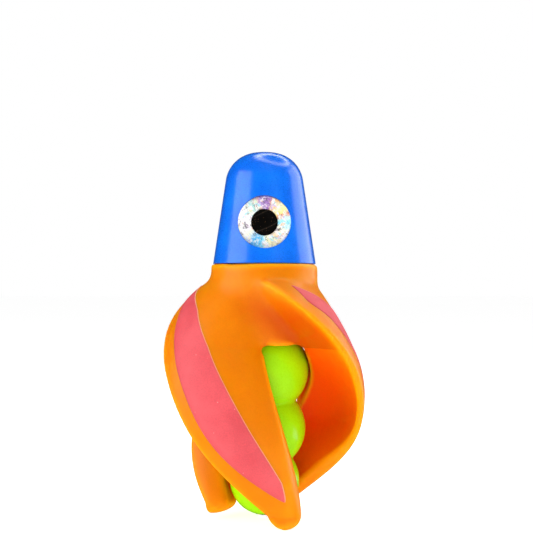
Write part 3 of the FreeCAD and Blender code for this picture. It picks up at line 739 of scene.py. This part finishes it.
def lens(profile, turns=96):
    """A closed turned solid from an outline that starts and ends on the axis."""
    points, faces = revolve(profile[1:-1], turns, closed=False)
    count = len(points)
    points = np.concatenate([points, [[0, 0, profile[0][1]], [0, 0, profile[-1][1]]]])
    last = count - turns
    for index in range(turns):
        after = (index + 1) % turns
        faces.append((count, after, index))
        faces.append((last + index, last + after, count + 1))
    return points, faces


def make_foil(side):
    """Foil disc whose face is crinkled in shallow facets."""
    radius = EYE_RADIUS - 0.05
    profile = [(0, 0), (radius - 0.03, 0), (radius, 0.03), (radius, FOIL - 0.06), (radius - 0.06, FOIL)]
    profile += [(r, FOIL) for r in np.linspace(radius - 0.25, 0.15, 34)] + [(0, FOIL)]
    points, faces = lens(profile, 120)
    face = points[:, 2] > FOIL - 0.01
    x, y = points[:, 0], points[:, 1]
    crinkle = np.sin(2.1 * x + 1.3 * np.sin(1.7 * y)) * np.sin(1.9 * y + 0.9 * np.sin(2.6 * x + 1.0))
    crinkle += 0.5 * np.sin(4.3 * x - 3.1 * y) * np.sin(3.7 * y + 2.2 * x)
    edge = ease(radius - np.hypot(x, y), 0.0, 0.6)
    points[:, 2] -= np.where(face, 0.035 * edge * (1 + crinkle / 1.5), 0)
    return to_object("eye_foil_" + side, points, faces)


def make_pupil(side):
    top = FOIL + 0.12
    profile = [(0, FOIL - 0.08), (PUPIL_RADIUS, FOIL - 0.08), (PUPIL_RADIUS, top - 0.04)]
    profile += [(PUPIL_RADIUS - 0.04, top - 0.01), (PUPIL_RADIUS - 0.12, top)]
    profile += [(r, top) for r in np.linspace(PUPIL_RADIUS - 0.4, 0.3, 6)] + [(0, top)]
    return to_object("eye_pupil_" + side, *lens(profile, 96))


def make_dome(side):
    radius = EYE_RADIUS - 0.05
    base = FOIL + 0.13
    rim = FOIL + DOME_WALL
    ball = (radius ** 2 + DOME_RISE ** 2) / (2 * DOME_RISE)
    profile = [(0, base), (radius - 0.02, base), (radius, base + 0.02), (radius, rim - 0.05)]
    for r in np.linspace(radius - 0.04, 0.1, 40):
        profile.append((r, rim + DOME_RISE - ball + math.sqrt(ball ** 2 - r ** 2)))
    profile.append((0, rim + DOME_RISE))
    return to_object("eye_dome_" + side, *lens(profile, 120))


def make_eyes():
    pieces = {}
    for where, side in (("front", 1), ("back", -1)):
        for kind, make, slot in (("foil", make_foil, "eye_foil"), ("pupil", make_pupil, "eye_pupil"),
                                 ("dome", make_dome, "eye_resin")):
            piece = make(where)
            piece.matrix_world = eye_matrix(side)
            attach(piece, HEAD)
            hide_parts("eye_%s_%s" % (where, kind))
            pieces.setdefault(kind, []).append(piece)
    return pieces


def waist(upper, lower, fillet):
    """Fillet arc between two balls on the axis, from the upper one to the lower one."""
    (r0, z0), (r1, z1) = upper, lower
    reach0, reach1, gap = r0 + fillet, r1 + fillet, z0 - z1
    down = (reach0 ** 2 - reach1 ** 2 + gap ** 2) / (2 * gap)
    centre = (math.sqrt(reach0 ** 2 - down ** 2), z0 - down)
    start = math.degrees(math.atan2(z0 - centre[1], -centre[0])) % 360
    stop = math.degrees(math.atan2(z1 - centre[1], -centre[0])) % 360
    return centre, start, stop


def make_core():
    """Three balls in one moulding with its stem, bored for the leader's tube."""
    waists = [waist(BALLS[index], BALLS[index + 1], WAIST_FILLET) for index in range(2)]
    stem_top = corner("bead_core", 1)[2]
    tail = corner("bead_core", 0)[2]
    ferrule = corner("tail_ferrule", 1)
    clip = corner("stem_circlip", 0)[2], corner("stem_circlip", 1)[2]
    outline = [(BORE_RADIUS, stem_top), (STEM_RADIUS, stem_top), (STEM_RADIUS, clip[1]),
               (STEM_RADIUS - CLIP_GROOVE, clip[1]), (STEM_RADIUS - CLIP_GROOVE, clip[0]),
               (STEM_RADIUS, clip[0])]
    start = math.degrees(math.acos(STEM_RADIUS / BALLS[0][0]))
    for index, (radius, height) in enumerate(BALLS):
        if index < 2:
            (centre_r, centre_z), first, last = waists[index]
            stop = math.degrees(math.atan2(centre_z - height, centre_r))
        else:
            stop = -math.degrees(math.asin((height - tail) / radius))
        outline += arc((0, height), radius, start, stop, 48)
        if index < 2:
            outline += arc((centre_r, centre_z), WAIST_FILLET, first, last, 9)[1:-1]
            start = math.degrees(math.atan2(centre_z - BALLS[index + 1][1], centre_r))
    outline += [(ferrule[0], tail), (ferrule[0], ferrule[2]), (BORE_RADIUS, ferrule[2])]
    core = to_object("core", *revolve(outline[::-1], 160))
    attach(core, HEAD)
    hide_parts("bead_core")
    return core


# ---------------------------------------------------------------- material helpers

class Look:
    """A material's node graph round one Principled shader, in the piece's own millimetres."""

    def __init__(self, name, **sockets):
        self.material = bpy.data.materials.new(name)
        self.material.use_nodes = True
        self.tree = self.material.node_tree
        self.shader = self.tree.nodes["Principled BSDF"]
        for socket, value in sockets.items():
            self.shader.inputs[socket.replace("_", " ")].default_value = value
        coords = self.tree.nodes.new("ShaderNodeTexCoord")
        scale = self.node("ShaderNodeVectorMath", operation="SCALE")
        scale.inputs["Scale"].default_value = 1 / MM
        self.link(coords.outputs["Object"], scale.inputs[0])
        self.place = scale.outputs[0]

    def node(self, kind, **settings):
        node = self.tree.nodes.new(kind)
        for key, value in settings.items():
            setattr(node, key, value)
        return node

    def link(self, source, target):
        self.tree.links.new(source, target)

    def noise(self, scale, detail=2.0, roughness=0.5, distortion=0.0, place=None):
        """Noise with `scale` features to the millimetre."""
        node = self.node("ShaderNodeTexNoise")
        for socket, value in (("Scale", scale), ("Detail", detail), ("Roughness", roughness),
                              ("Distortion", distortion)):
            node.inputs[socket].default_value = value
        self.link(place or self.place, node.inputs["Vector"])
        return node

    def cells(self, scale, feature="F1", place=None, randomness=1.0):
        node = self.node("ShaderNodeTexVoronoi", feature=feature)
        node.inputs["Scale"].default_value = scale
        node.inputs["Randomness"].default_value = randomness
        self.link(place or self.place, node.inputs["Vector"])
        return node

    def math(self, operation, first, second=None):
        node = self.node("ShaderNodeMath", operation=operation)
        for socket, value in zip(node.inputs, (first, second)):
            if value is None:
                continue
            if isinstance(value, (int, float)):
                socket.default_value = value
            else:
                self.link(value, socket)
        return node.outputs[0]

    def ramp(self, source, stops, interpolation="LINEAR"):
        """Colour ramp: stops are (position, colour or grey)."""
        node = self.node("ShaderNodeValToRGB")
        node.color_ramp.interpolation = interpolation
        elements = node.color_ramp.elements
        while len(elements) < len(stops):
            elements.new(0.5)
        for element, (position, colour) in zip(elements, stops):
            element.position = position
            if isinstance(colour, (int, float)):
                colour = (colour, colour, colour)
            element.color = (*colour, 1.0)
        self.link(source, node.inputs["Fac"])
        return node.outputs["Color"]

    def mix(self, factor, first, second, blend="MIX"):
        """Mix of two colours, each a socket or a constant."""
        node = self.node("ShaderNodeMix", data_type="RGBA", blend_type=blend)
        for socket, value in ((node.inputs["Factor"], factor), (node.inputs["A"], first),
                              (node.inputs["B"], second)):
            if isinstance(value, tuple):
                socket.default_value = (*value, 1.0)
            elif isinstance(value, (int, float)):
                socket.default_value = value
            else:
                self.link(value, socket)
        return node.outputs["Result"]

    def marked(self, name):
        """A number stored on the mesh by mark()."""
        node = self.node("ShaderNodeAttribute", attribute_name=name)
        return node.outputs["Fac"]

    def span(self, source, low, high, to_low=0.0, to_high=1.0):
        """Map a range onto another, held at its ends."""
        node = self.node("ShaderNodeMapRange")
        for socket, value in zip(node.inputs[1:5], (low, high, to_low, to_high)):
            socket.default_value = value
        self.link(source, node.inputs[0])
        return node.outputs[0]

    def colour(self, source):
        self.link(source, self.shader.inputs["Base Color"])

    def roughness(self, source):
        self.link(source, self.shader.inputs["Roughness"])

    def bump(self, *layers):
        """Stack bumps of (height socket, depth in millimetres) on the surface and its coat."""
        normal = None
        for height, depth in layers:
            node = self.node("ShaderNodeBump")
            node.inputs["Distance"].default_value = depth * MM
            self.link(height, node.inputs["Height"])
            if normal is not None:
                self.link(normal, node.inputs["Normal"])
            normal = node.outputs["Normal"]
        self.link(normal, self.shader.inputs["Normal"])
        return normal


def dress(pieces, material):
    """Give pieces, or CAD nodes by name, a material."""
    for piece in pieces:
        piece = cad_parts.get(piece, piece) if isinstance(piece, str) else piece
        if not piece.material_slots:
            piece.data.materials.append(material)
        for slot in piece.material_slots:
            slot.material = material


# ---------------------------------------------------------------- materials

def blue_plastic():
    look = Look("blue_plastic", Roughness=0.3, Coat_Weight=1.0, Coat_Roughness=0.20, Coat_IOR=1.5,
                IOR=1.45, Specular_IOR_Level=0.1, Subsurface_Weight=0.12, Subsurface_Scale=0.0008,
                Subsurface_Radius=(0.2, 0.4, 1.0))
    cloud = look.noise(0.22, detail=3.0)
    grain = look.noise(6.0, detail=2.0)
    base = look.ramp(cloud.outputs["Fac"], [(0.35, (0.0, 0.130, 0.74)), (0.65, (0.0, 0.165, 0.84))])
    speck = look.ramp(grain.outputs["Fac"], [(0.35, 0.74), (0.65, 1.12)])
    look.colour(look.mix(0.8, base, look.mix(1.0, base, speck, "MULTIPLY")))
    look.roughness(look.span(grain.outputs["Fac"], 0.3, 0.7, 0.24, 0.36))
    peel = look.noise(0.55, detail=1.5)
    look.bump((peel.outputs["Fac"], 0.05), (grain.outputs["Fac"], 0.004))
    return look.material


def orange_elastomer():
    look = Look("orange_elastomer", Roughness=0.36, Coat_Weight=0.22, Coat_Roughness=0.24, Coat_IOR=1.42,
                IOR=1.42, Specular_IOR_Level=0.14, Subsurface_Weight=0.7, Subsurface_Scale=0.0025,
                Subsurface_Radius=(1.0, 0.28, 0.04))
    cloud = look.noise(0.12, detail=3.0, roughness=0.6)
    grain = look.noise(3.5, detail=3.0)
    base = look.ramp(cloud.outputs["Fac"], [(0.35, (0.70, 0.190, 0.0)), (0.65, (0.75, 0.215, 0.0))])
    # painted shade: the arms' inner faces are painted redder and darker the deeper they lie, and the hub by
    # the seam darker still; painted highlight: rims and thin edges are painted lighter and yellower
    inner_shade = look.ramp(look.marked("depth"), [(0.0, (0.80, 0.24, 0.0)), (0.35, (0.86, 0.17, 0.0)),
                                            (0.65, (0.93, 0.115, 0.0)), (1.0, (0.96, 0.065, 0.0))])
    base = look.mix(look.span(look.marked("depth"), 0.02, 0.25), base, inner_shade)
    # painted shade in the valley on the hub beside each arm's seam
    base = look.mix(look.math("MULTIPLY", look.marked("valley_shade"), 0.85), base, (0.56, 0.060, 0.0))
    rim = look.span(look.marked("edge"), 0.04, 0.22)
    # painted highlight on rims and thin edges, such as the lip
    base = look.mix(look.math("MULTIPLY", rim, 0.8), base, (0.93, 0.33, 0.001))
    fleck = look.cells(1.1)
    dots = look.span(fleck.outputs["Distance"], 0.03, 0.07, 0.25, 0.0)
    base = look.mix(dots, base, (1.0, 0.45, 0.10))
    shade = look.ramp(grain.outputs["Fac"], [(0.3, 0.95), (0.7, 1.02)])
    look.colour(look.mix(1.0, base, shade, "MULTIPLY"))
    look.roughness(look.span(look.noise(0.3, detail=4.0).outputs["Fac"], 0.3, 0.7, 0.30, 0.46))
    peel = look.noise(0.35, detail=2.0)
    flow = look.noise(1.3, detail=3.0, distortion=0.6)
    look.bump((peel.outputs["Fac"], 0.10), (flow.outputs["Fac"], 0.012), (grain.outputs["Fac"], 0.006))
    return look.material


def pink_inlay():
    look = Look("pink_inlay", Roughness=0.55, Coat_Weight=0.12, Coat_Roughness=0.3, IOR=1.45,
                Subsurface_Weight=0.25, Subsurface_Scale=0.001, Subsurface_Radius=(1.0, 0.25, 0.2))
    cloud = look.noise(0.16, detail=4.0, roughness=0.6)
    grain = look.noise(4.5, detail=4.0, roughness=0.65)
    base = look.ramp(cloud.outputs["Fac"], [(0.3, (0.65, 0.060, 0.076)), (0.7, (0.75, 0.092, 0.110))])
    shade = look.ramp(grain.outputs["Fac"], [(0.3, 0.86), (0.7, 1.08)])
    base = look.mix(1.0, base, shade, "MULTIPLY")
    pores = look.cells(1.25)
    pore = look.span(pores.outputs["Distance"], 0.05, 0.11, 1.0, 0.0)
    picked = look.span(look.noise(0.9, detail=0.0).outputs["Fac"], 0.52, 0.6, 0.0, 1.0)
    pore = look.math("MULTIPLY", pore, picked)
    # the pores are painted darker: painted shade in the pits
    base = look.mix(look.math("MULTIPLY", pore, 0.55), base, (0.50, 0.03, 0.055))
    chips = look.cells(0.55)
    chip = look.span(chips.outputs["Distance"], 0.03, 0.06, 0.8, 0.0)
    base = look.mix(chip, base, (0.95, 0.42, 0.40))
    # painted highlight along the trailing border
    base = look.mix(look.span(look.marked("highlight_from_trail"), 0.10, 0.26, 0.9, 0.0), base, (0.95, 0.42, 0.27))
    # painted shade along the leading border
    look.colour(look.mix(look.span(look.marked("shade_from_lead"), 0.0, 1.6, 0.35, 0.0), base, (0.55, 0.035, 0.04)))
    look.roughness(look.span(grain.outputs["Fac"], 0.3, 0.7, 0.48, 0.66))
    sunk = look.math("SUBTRACT", 1.0, pore)
    look.bump((cloud.outputs["Fac"], 0.12), (grain.outputs["Fac"], 0.02), (sunk, 0.03))
    return look.material


def green_plastic():
    look = Look("green_plastic", Roughness=0.3, Coat_Weight=0.6, Coat_Roughness=0.12,
                Coat_IOR=1.45, Specular_IOR_Level=0.2,
                IOR=1.45, Subsurface_Weight=0.35, Subsurface_Scale=0.0014,
                Subsurface_Radius=(0.6, 1.0, 0.05))
    cloud = look.noise(0.18, detail=3.0)
    grain = look.noise(4.0, detail=2.0)
    base = look.ramp(cloud.outputs["Fac"], [(0.35, (0.33, 0.78, 0.0)), (0.65, (0.38, 0.86, 0.002))])
    shade = look.ramp(grain.outputs["Fac"], [(0.3, 0.95), (0.7, 1.03)])
    look.colour(look.mix(1.0, base, shade, "MULTIPLY"))
    look.roughness(look.span(grain.outputs["Fac"], 0.3, 0.7, 0.25, 0.36))
    peel = look.noise(0.4, detail=2.0)
    swirl = look.noise(0.9, detail=1.0, distortion=1.5)
    look.bump((peel.outputs["Fac"], 0.10), (swirl.outputs["Fac"], 0.03))
    return look.material


def holographic_foil():
    """Crinkled foil whose hue changes round the pupil in torn, overlapping patches."""
    look = Look("holographic_foil", Roughness=0.42, IOR=1.5)
    warp = look.noise(0.85, detail=4.0, roughness=0.65)
    shift = look.node("ShaderNodeVectorMath", operation="MULTIPLY_ADD")
    look.link(warp.outputs["Color"], shift.inputs[0])
    shift.inputs[1].default_value = (2.6, 2.6, 0.0)
    look.link(look.place, shift.inputs[2])
    bent = look.node("ShaderNodeVectorMath", operation="SUBTRACT")
    look.link(shift.outputs[0], bent.inputs[0])
    bent.inputs[1].default_value = (1.3, 1.3, 0.0)
    place = bent.outputs[0]
    turn = look.node("ShaderNodeTexGradient", gradient_type="RADIAL")
    look.link(place, turn.inputs["Vector"])
    # the gradient is 0.5 on +X and rises anticlockwise: 0.75 is up, 0 and 1 are on -X, 0.25 is down
    patches = look.ramp(turn.outputs["Fac"], [
        (0.00, (0.62, 0.50, 0.62)), (0.05, (0.92, 0.90, 0.94)), (0.10, (0.96, 0.93, 0.72)),
        (0.16, (0.10, 0.52, 0.88)), (0.23, (0.22, 0.72, 0.92)), (0.27, (0.96, 0.93, 0.55)),
        (0.35, (0.96, 0.80, 0.42)), (0.40, (0.90, 0.80, 0.88)), (0.44, (0.95, 0.92, 0.62)),
        (0.48, (0.25, 0.72, 0.92)), (0.53, (0.45, 0.90, 0.93)), (0.56, (0.95, 0.30, 0.16)),
        (0.585, (0.95, 0.88, 0.30)), (0.64, (0.90, 0.84, 0.55)), (0.68, (0.85, 0.42, 0.13)),
        (0.72, (0.36, 0.16, 0.50)), (0.78, (0.50, 0.34, 0.68)), (0.81, (0.88, 0.48, 0.22)),
        (0.845, (0.22, 0.62, 0.60)), (0.88, (0.88, 0.95, 0.86)), (0.94, (0.93, 0.88, 0.93))])
    # small overlapping tears show hues of their own
    scraps = look.cells(1.5, place=place)
    hue = look.node("ShaderNodeSeparateColor")
    look.link(scraps.outputs["Color"], hue.inputs[0])
    strays = look.ramp(hue.outputs[0], [
        (0.0, (0.95, 0.93, 0.90)), (0.22, (0.95, 0.88, 0.50)), (0.38, (0.35, 0.80, 0.92)),
        (0.50, (0.90, 0.55, 0.28)), (0.60, (0.93, 0.90, 0.95)), (0.74, (0.62, 0.45, 0.80)),
        (0.84, (0.70, 0.90, 0.65)), (0.92, (0.95, 0.45, 0.45))], "CONSTANT")
    stray = look.span(look.noise(0.9, detail=3.0).outputs["Fac"], 0.53, 0.58, 0.0, 0.85)
    colour = look.mix(stray, patches, strays)
    glow = look.span(look.noise(2.3, detail=3.0, place=place).outputs["Fac"], 0.52, 0.62, 0.0, 0.8)
    colour = look.mix(glow, colour, (1.0, 0.99, 0.93))
    murk = look.span(look.noise(1.7, detail=4.0, roughness=0.7).outputs["Fac"], 0.60, 0.70, 0.0, 0.6)
    colour = look.mix(murk, colour, (0.30, 0.22, 0.22))
    creases = look.cells(0.75, feature="DISTANCE_TO_EDGE", place=place)
    crease = look.span(creases.outputs["Distance"], 0.01, 0.05, 0.9, 0.0)
    broken = look.span(look.noise(1.3, detail=1.0).outputs["Fac"], 0.47, 0.55)
    # dark lines along the foil's creases: painted shade
    colour = look.mix(look.math("MULTIPLY", crease, broken), colour, (0.07, 0.05, 0.07))
    ticks = look.node("ShaderNodeTexWave", wave_type="BANDS", bands_direction="DIAGONAL")
    for socket, value in (("Scale", 1.0), ("Distortion", 4.0), ("Detail", 3.0), ("Detail Scale", 2.0)):
        ticks.inputs[socket].default_value = value
    look.link(look.place, ticks.inputs["Vector"])
    tick = look.span(ticks.outputs["Fac"], 0.90, 0.98, 0.0, 0.35)
    colour = look.mix(tick, colour, look.mix(1.0, colour, (0.35, 0.42, 0.60), "MULTIPLY"))
    look.colour(colour)
    look.bump((creases.outputs["Distance"], 0.10), (scraps.outputs["Distance"], 0.05))
    return look.material


def pupil_print():
    look = Look("pupil_print", Roughness=0.5, IOR=1.45, Specular_IOR_Level=0.15)
    specks = look.cells(3.0)
    fleck = look.span(specks.outputs["Distance"], 0.05, 0.20, 1.0, 0.0)
    picked = look.span(look.noise(2.4, detail=1.0).outputs["Fac"], 0.45, 0.58)
    crease = look.node("ShaderNodeTexWave", wave_type="BANDS", bands_direction="X")
    turned_place = look.node("ShaderNodeMapping")
    turned_place.inputs["Rotation"].default_value = (0, 0, math.radians(62))
    turned_place.inputs["Location"].default_value = (0.35, 0, 0)
    look.link(look.place, turned_place.inputs["Vector"])
    look.link(turned_place.outputs[0], crease.inputs["Vector"])
    for socket, value in (("Scale", 0.11), ("Distortion", 1.2), ("Detail", 2.0)):
        crease.inputs[socket].default_value = value
    streak = look.span(crease.outputs["Fac"], 0.985, 0.999, 0.0, 0.4)
    base = look.mix(streak, (0.0016, 0.0013, 0.001), (0.06, 0.045, 0.03))
    look.colour(look.mix(look.math("MULTIPLY", fleck, picked), base, (0.22, 0.12, 0.045)))
    look.bump((specks.outputs["Distance"], 0.01))
    return look.material


def clear_resin():
    """Clear dome: the surface behind shows through, with a sharp gloss on the outside only."""
    look = Look("clear_resin")
    tree = look.tree
    clear = look.node("ShaderNodeBsdfTransparent")
    gloss = look.node("ShaderNodeBsdfGlossy")
    gloss.inputs["Roughness"].default_value = 0.04
    fresnel = look.node("ShaderNodeFresnel")
    fresnel.inputs["IOR"].default_value = 1.48
    ripple = look.noise(0.5, detail=1.0)
    bump = look.node("ShaderNodeBump")
    bump.inputs["Distance"].default_value = 0.03 * MM
    look.link(ripple.outputs["Fac"], bump.inputs["Height"])
    look.link(bump.outputs["Normal"], gloss.inputs["Normal"])
    look.link(bump.outputs["Normal"], fresnel.inputs["Normal"])
    outside = look.node("ShaderNodeNewGeometry")
    front = look.math("SUBTRACT", 1.0, outside.outputs["Backfacing"])
    share = look.math("MULTIPLY", fresnel.outputs[0], front)
    blend = look.node("ShaderNodeMixShader")
    look.link(share, blend.inputs[0])
    look.link(clear.outputs[0], blend.inputs[1])
    look.link(gloss.outputs[0], blend.inputs[2])
    output = tree.nodes["Material Output"]
    look.link(blend.outputs[0], output.inputs["Surface"])
    tree.nodes.remove(look.shader)
    return look.material


def small_part(name, colour, roughness, metallic=0.0, grain=8.0):
    """Plain turned or moulded stock with a fine grain, for the small parts."""
    look = Look(name, Roughness=roughness, Metallic=metallic)
    noise = look.noise(grain, detail=3.0)
    dark = tuple(0.85 * channel for channel in colour)
    look.colour(look.ramp(noise.outputs["Fac"], [(0.3, dark), (0.7, colour)]))
    look.roughness(look.span(noise.outputs["Fac"], 0.3, 0.7, roughness - 0.06, roughness + 0.08))
    look.bump((noise.outputs["Fac"], 0.006))
    return look.material


# ---------------------------------------------------------------- the object

cage = make_cage()
cage_tree = BVHTree.FromObject(cage, bpy.context.evaluated_depsgraph_get())
stripes = [make_stripe(letter, cage_tree) for letter in ARMS]
head = make_head()
eyes = make_eyes()
core = make_core()

orange = orange_elastomer()
dress([cage], orange)
dress(stripes, pink_inlay())
blue = blue_plastic()
dress([head, "head_plug"], blue)
dress([core], green_plastic())
dress(eyes["foil"], holographic_foil())
dress(eyes["pupil"], pupil_print())
dress(eyes["dome"], clear_resin())
nylon = small_part("milky_nylon", (0.78, 0.79, 0.75), 0.38)
dress(["leader_tube", "nose_grommet"], nylon)
dress(["tail_ferrule"], small_part("turned_brass", (0.80, 0.58, 0.25), 0.28, metallic=1.0, grain=5.0))
dress(["stem_circlip"], small_part("spring_steel", (0.55, 0.56, 0.58), 0.32, metallic=1.0))
dress(["thrust_washer"], small_part("white_slip_plastic", (0.88, 0.88, 0.86), 0.45))
dress(["hub_bush"], small_part("black_acetal", (0.045, 0.045, 0.05), 0.40))


# ---------------------------------------------------------------- studio

CAMERA_DISTANCE = 166.3
CAMERA_HEIGHT = 44.12
LENS = 57.4
AIM = Vector((0, 0, 35.0))
WORLD_FILL = 0.40
WORLD_GLOSS = 0.02
FLOOR_GLOW = 0.68


def make_camera():
    data = bpy.data.cameras.new("camera")
    data.sensor_width = 36.0
    data.lens = LENS
    data.shift_x = 0.0039
    data.shift_y = 0.0385
    data.clip_start = 0.01
    data.clip_end = 20.0
    camera = bpy.data.objects.new("camera", data)
    camera.location = Vector((0, -CAMERA_DISTANCE, CAMERA_HEIGHT)) * MM
    camera.rotation_euler = (math.radians(90), 0, 0)
    bpy.context.scene.collection.objects.link(camera)
    bpy.context.scene.camera = camera


def make_floor():
    size = 4000.0
    low = min(cad_box[0][2] / MM, 0.0)
    points = [(-size, -size, low), (size, -size, low), (size, size, low), (-size, size, low)]
    floor = to_object("floor", points, [(0, 1, 2, 3)])
    look = Look("pale_floor", Roughness=0.75, Emission_Strength=FLOOR_GLOW)
    look.shader.inputs["Emission Color"].default_value = (1, 1, 1, 1)
    tone = look.noise(0.004, detail=2.0)
    look.colour(look.ramp(tone.outputs["Fac"], [(0.3, 0.88), (0.7, 0.90)]))
    dress([floor], look.material)
    floor.visible_glossy = False


def softbox(name, azimuth, elevation, distance, width, height, radiance, mirrored=True):
    """An area lamp aimed at the object; azimuth runs from -Y towards +X, sizes in millimetres."""
    data = bpy.data.lights.new(name, "AREA")
    data.shape = "RECTANGLE"
    data.size = width * MM
    data.size_y = height * MM
    # a lamp of power P and area A has radiance P / (pi A)
    data.energy = radiance * math.pi * (width * MM) * (height * MM)
    lamp = bpy.data.objects.new(name, data)
    lamp.visible_glossy = mirrored
    level = distance * math.cos(math.radians(elevation))
    x, y = polar(level, azimuth)
    lamp.location = (Vector((x, y, distance * math.sin(math.radians(elevation)))) + AIM) * MM
    lamp.rotation_euler = (AIM * MM - lamp.location).to_track_quat("-Z", "Y").to_euler()
    bpy.context.scene.collection.objects.link(lamp)


def ring_lamp(centre, radius, count, size, radiance):
    """Small round lamps in a level ring, which a gloss shows as one bright hoop."""
    for index in range(count):
        x, y = polar(radius, index * 360.0 / count)
        data = bpy.data.lights.new("ring", "AREA")
        data.shape = "DISK"
        data.size = size * MM
        data.energy = radiance * math.pi * math.pi * (size * MM / 2) ** 2
        lamp = bpy.data.objects.new("ring", data)
        lamp.location = (Vector((x, y, 0)) + centre) * MM
        lamp.rotation_euler = (AIM * MM - lamp.location).to_track_quat("-Z", "Y").to_euler()
        bpy.context.scene.collection.objects.link(lamp)


def make_world():
    """Pale studio: white to the camera, a soft fill on the object, and nearly dark to mirrored rays."""
    world = bpy.data.worlds.new("studio")
    bpy.context.scene.world = world
    world.use_nodes = True
    tree = world.node_tree
    path = tree.nodes.new("ShaderNodeLightPath")
    shown = tree.nodes["Background"]
    rays = {"Is Diffuse Ray": WORLD_FILL, "Is Glossy Ray": WORLD_GLOSS, "Is Camera Ray": 1.0}
    for ray, strength in rays.items():
        background = tree.nodes.new("ShaderNodeBackground")
        background.inputs["Color"].default_value = (1, 1, 1, 1)
        background.inputs["Strength"].default_value = strength
        blend = tree.nodes.new("ShaderNodeMixShader")
        tree.links.new(path.outputs[ray], blend.inputs[0])
        tree.links.new(shown.outputs[0], blend.inputs[1])
        tree.links.new(background.outputs[0], blend.inputs[2])
        shown = blend
    tree.nodes["Background"].inputs["Color"].default_value = (1, 1, 1, 1)
    tree.nodes["Background"].inputs["Strength"].default_value = WORLD_FILL
    tree.links.new(shown.outputs[0], tree.nodes["World Output"].inputs["Surface"])


make_camera()
make_floor()
make_world()
softbox("left", -66, 8, 320, 290, 420, 2.3)
softbox("right", 112, 8, 320, 300, 420, 2.0)
softbox("front_top", 10, 55, 360, 220, 160, 1.5, mirrored=False)
softbox("front_right", 30, 14, 320, 150, 150, 1.9, mirrored=False)
softbox("low_fill", -14, -2, 320, 180, 90, 4.2, mirrored=False)
ring_lamp(Vector((60, 55, 240)), 90.0, 20, 40.0, 3.0)
bpy.context.scene.view_settings.view_transform = "Standard"
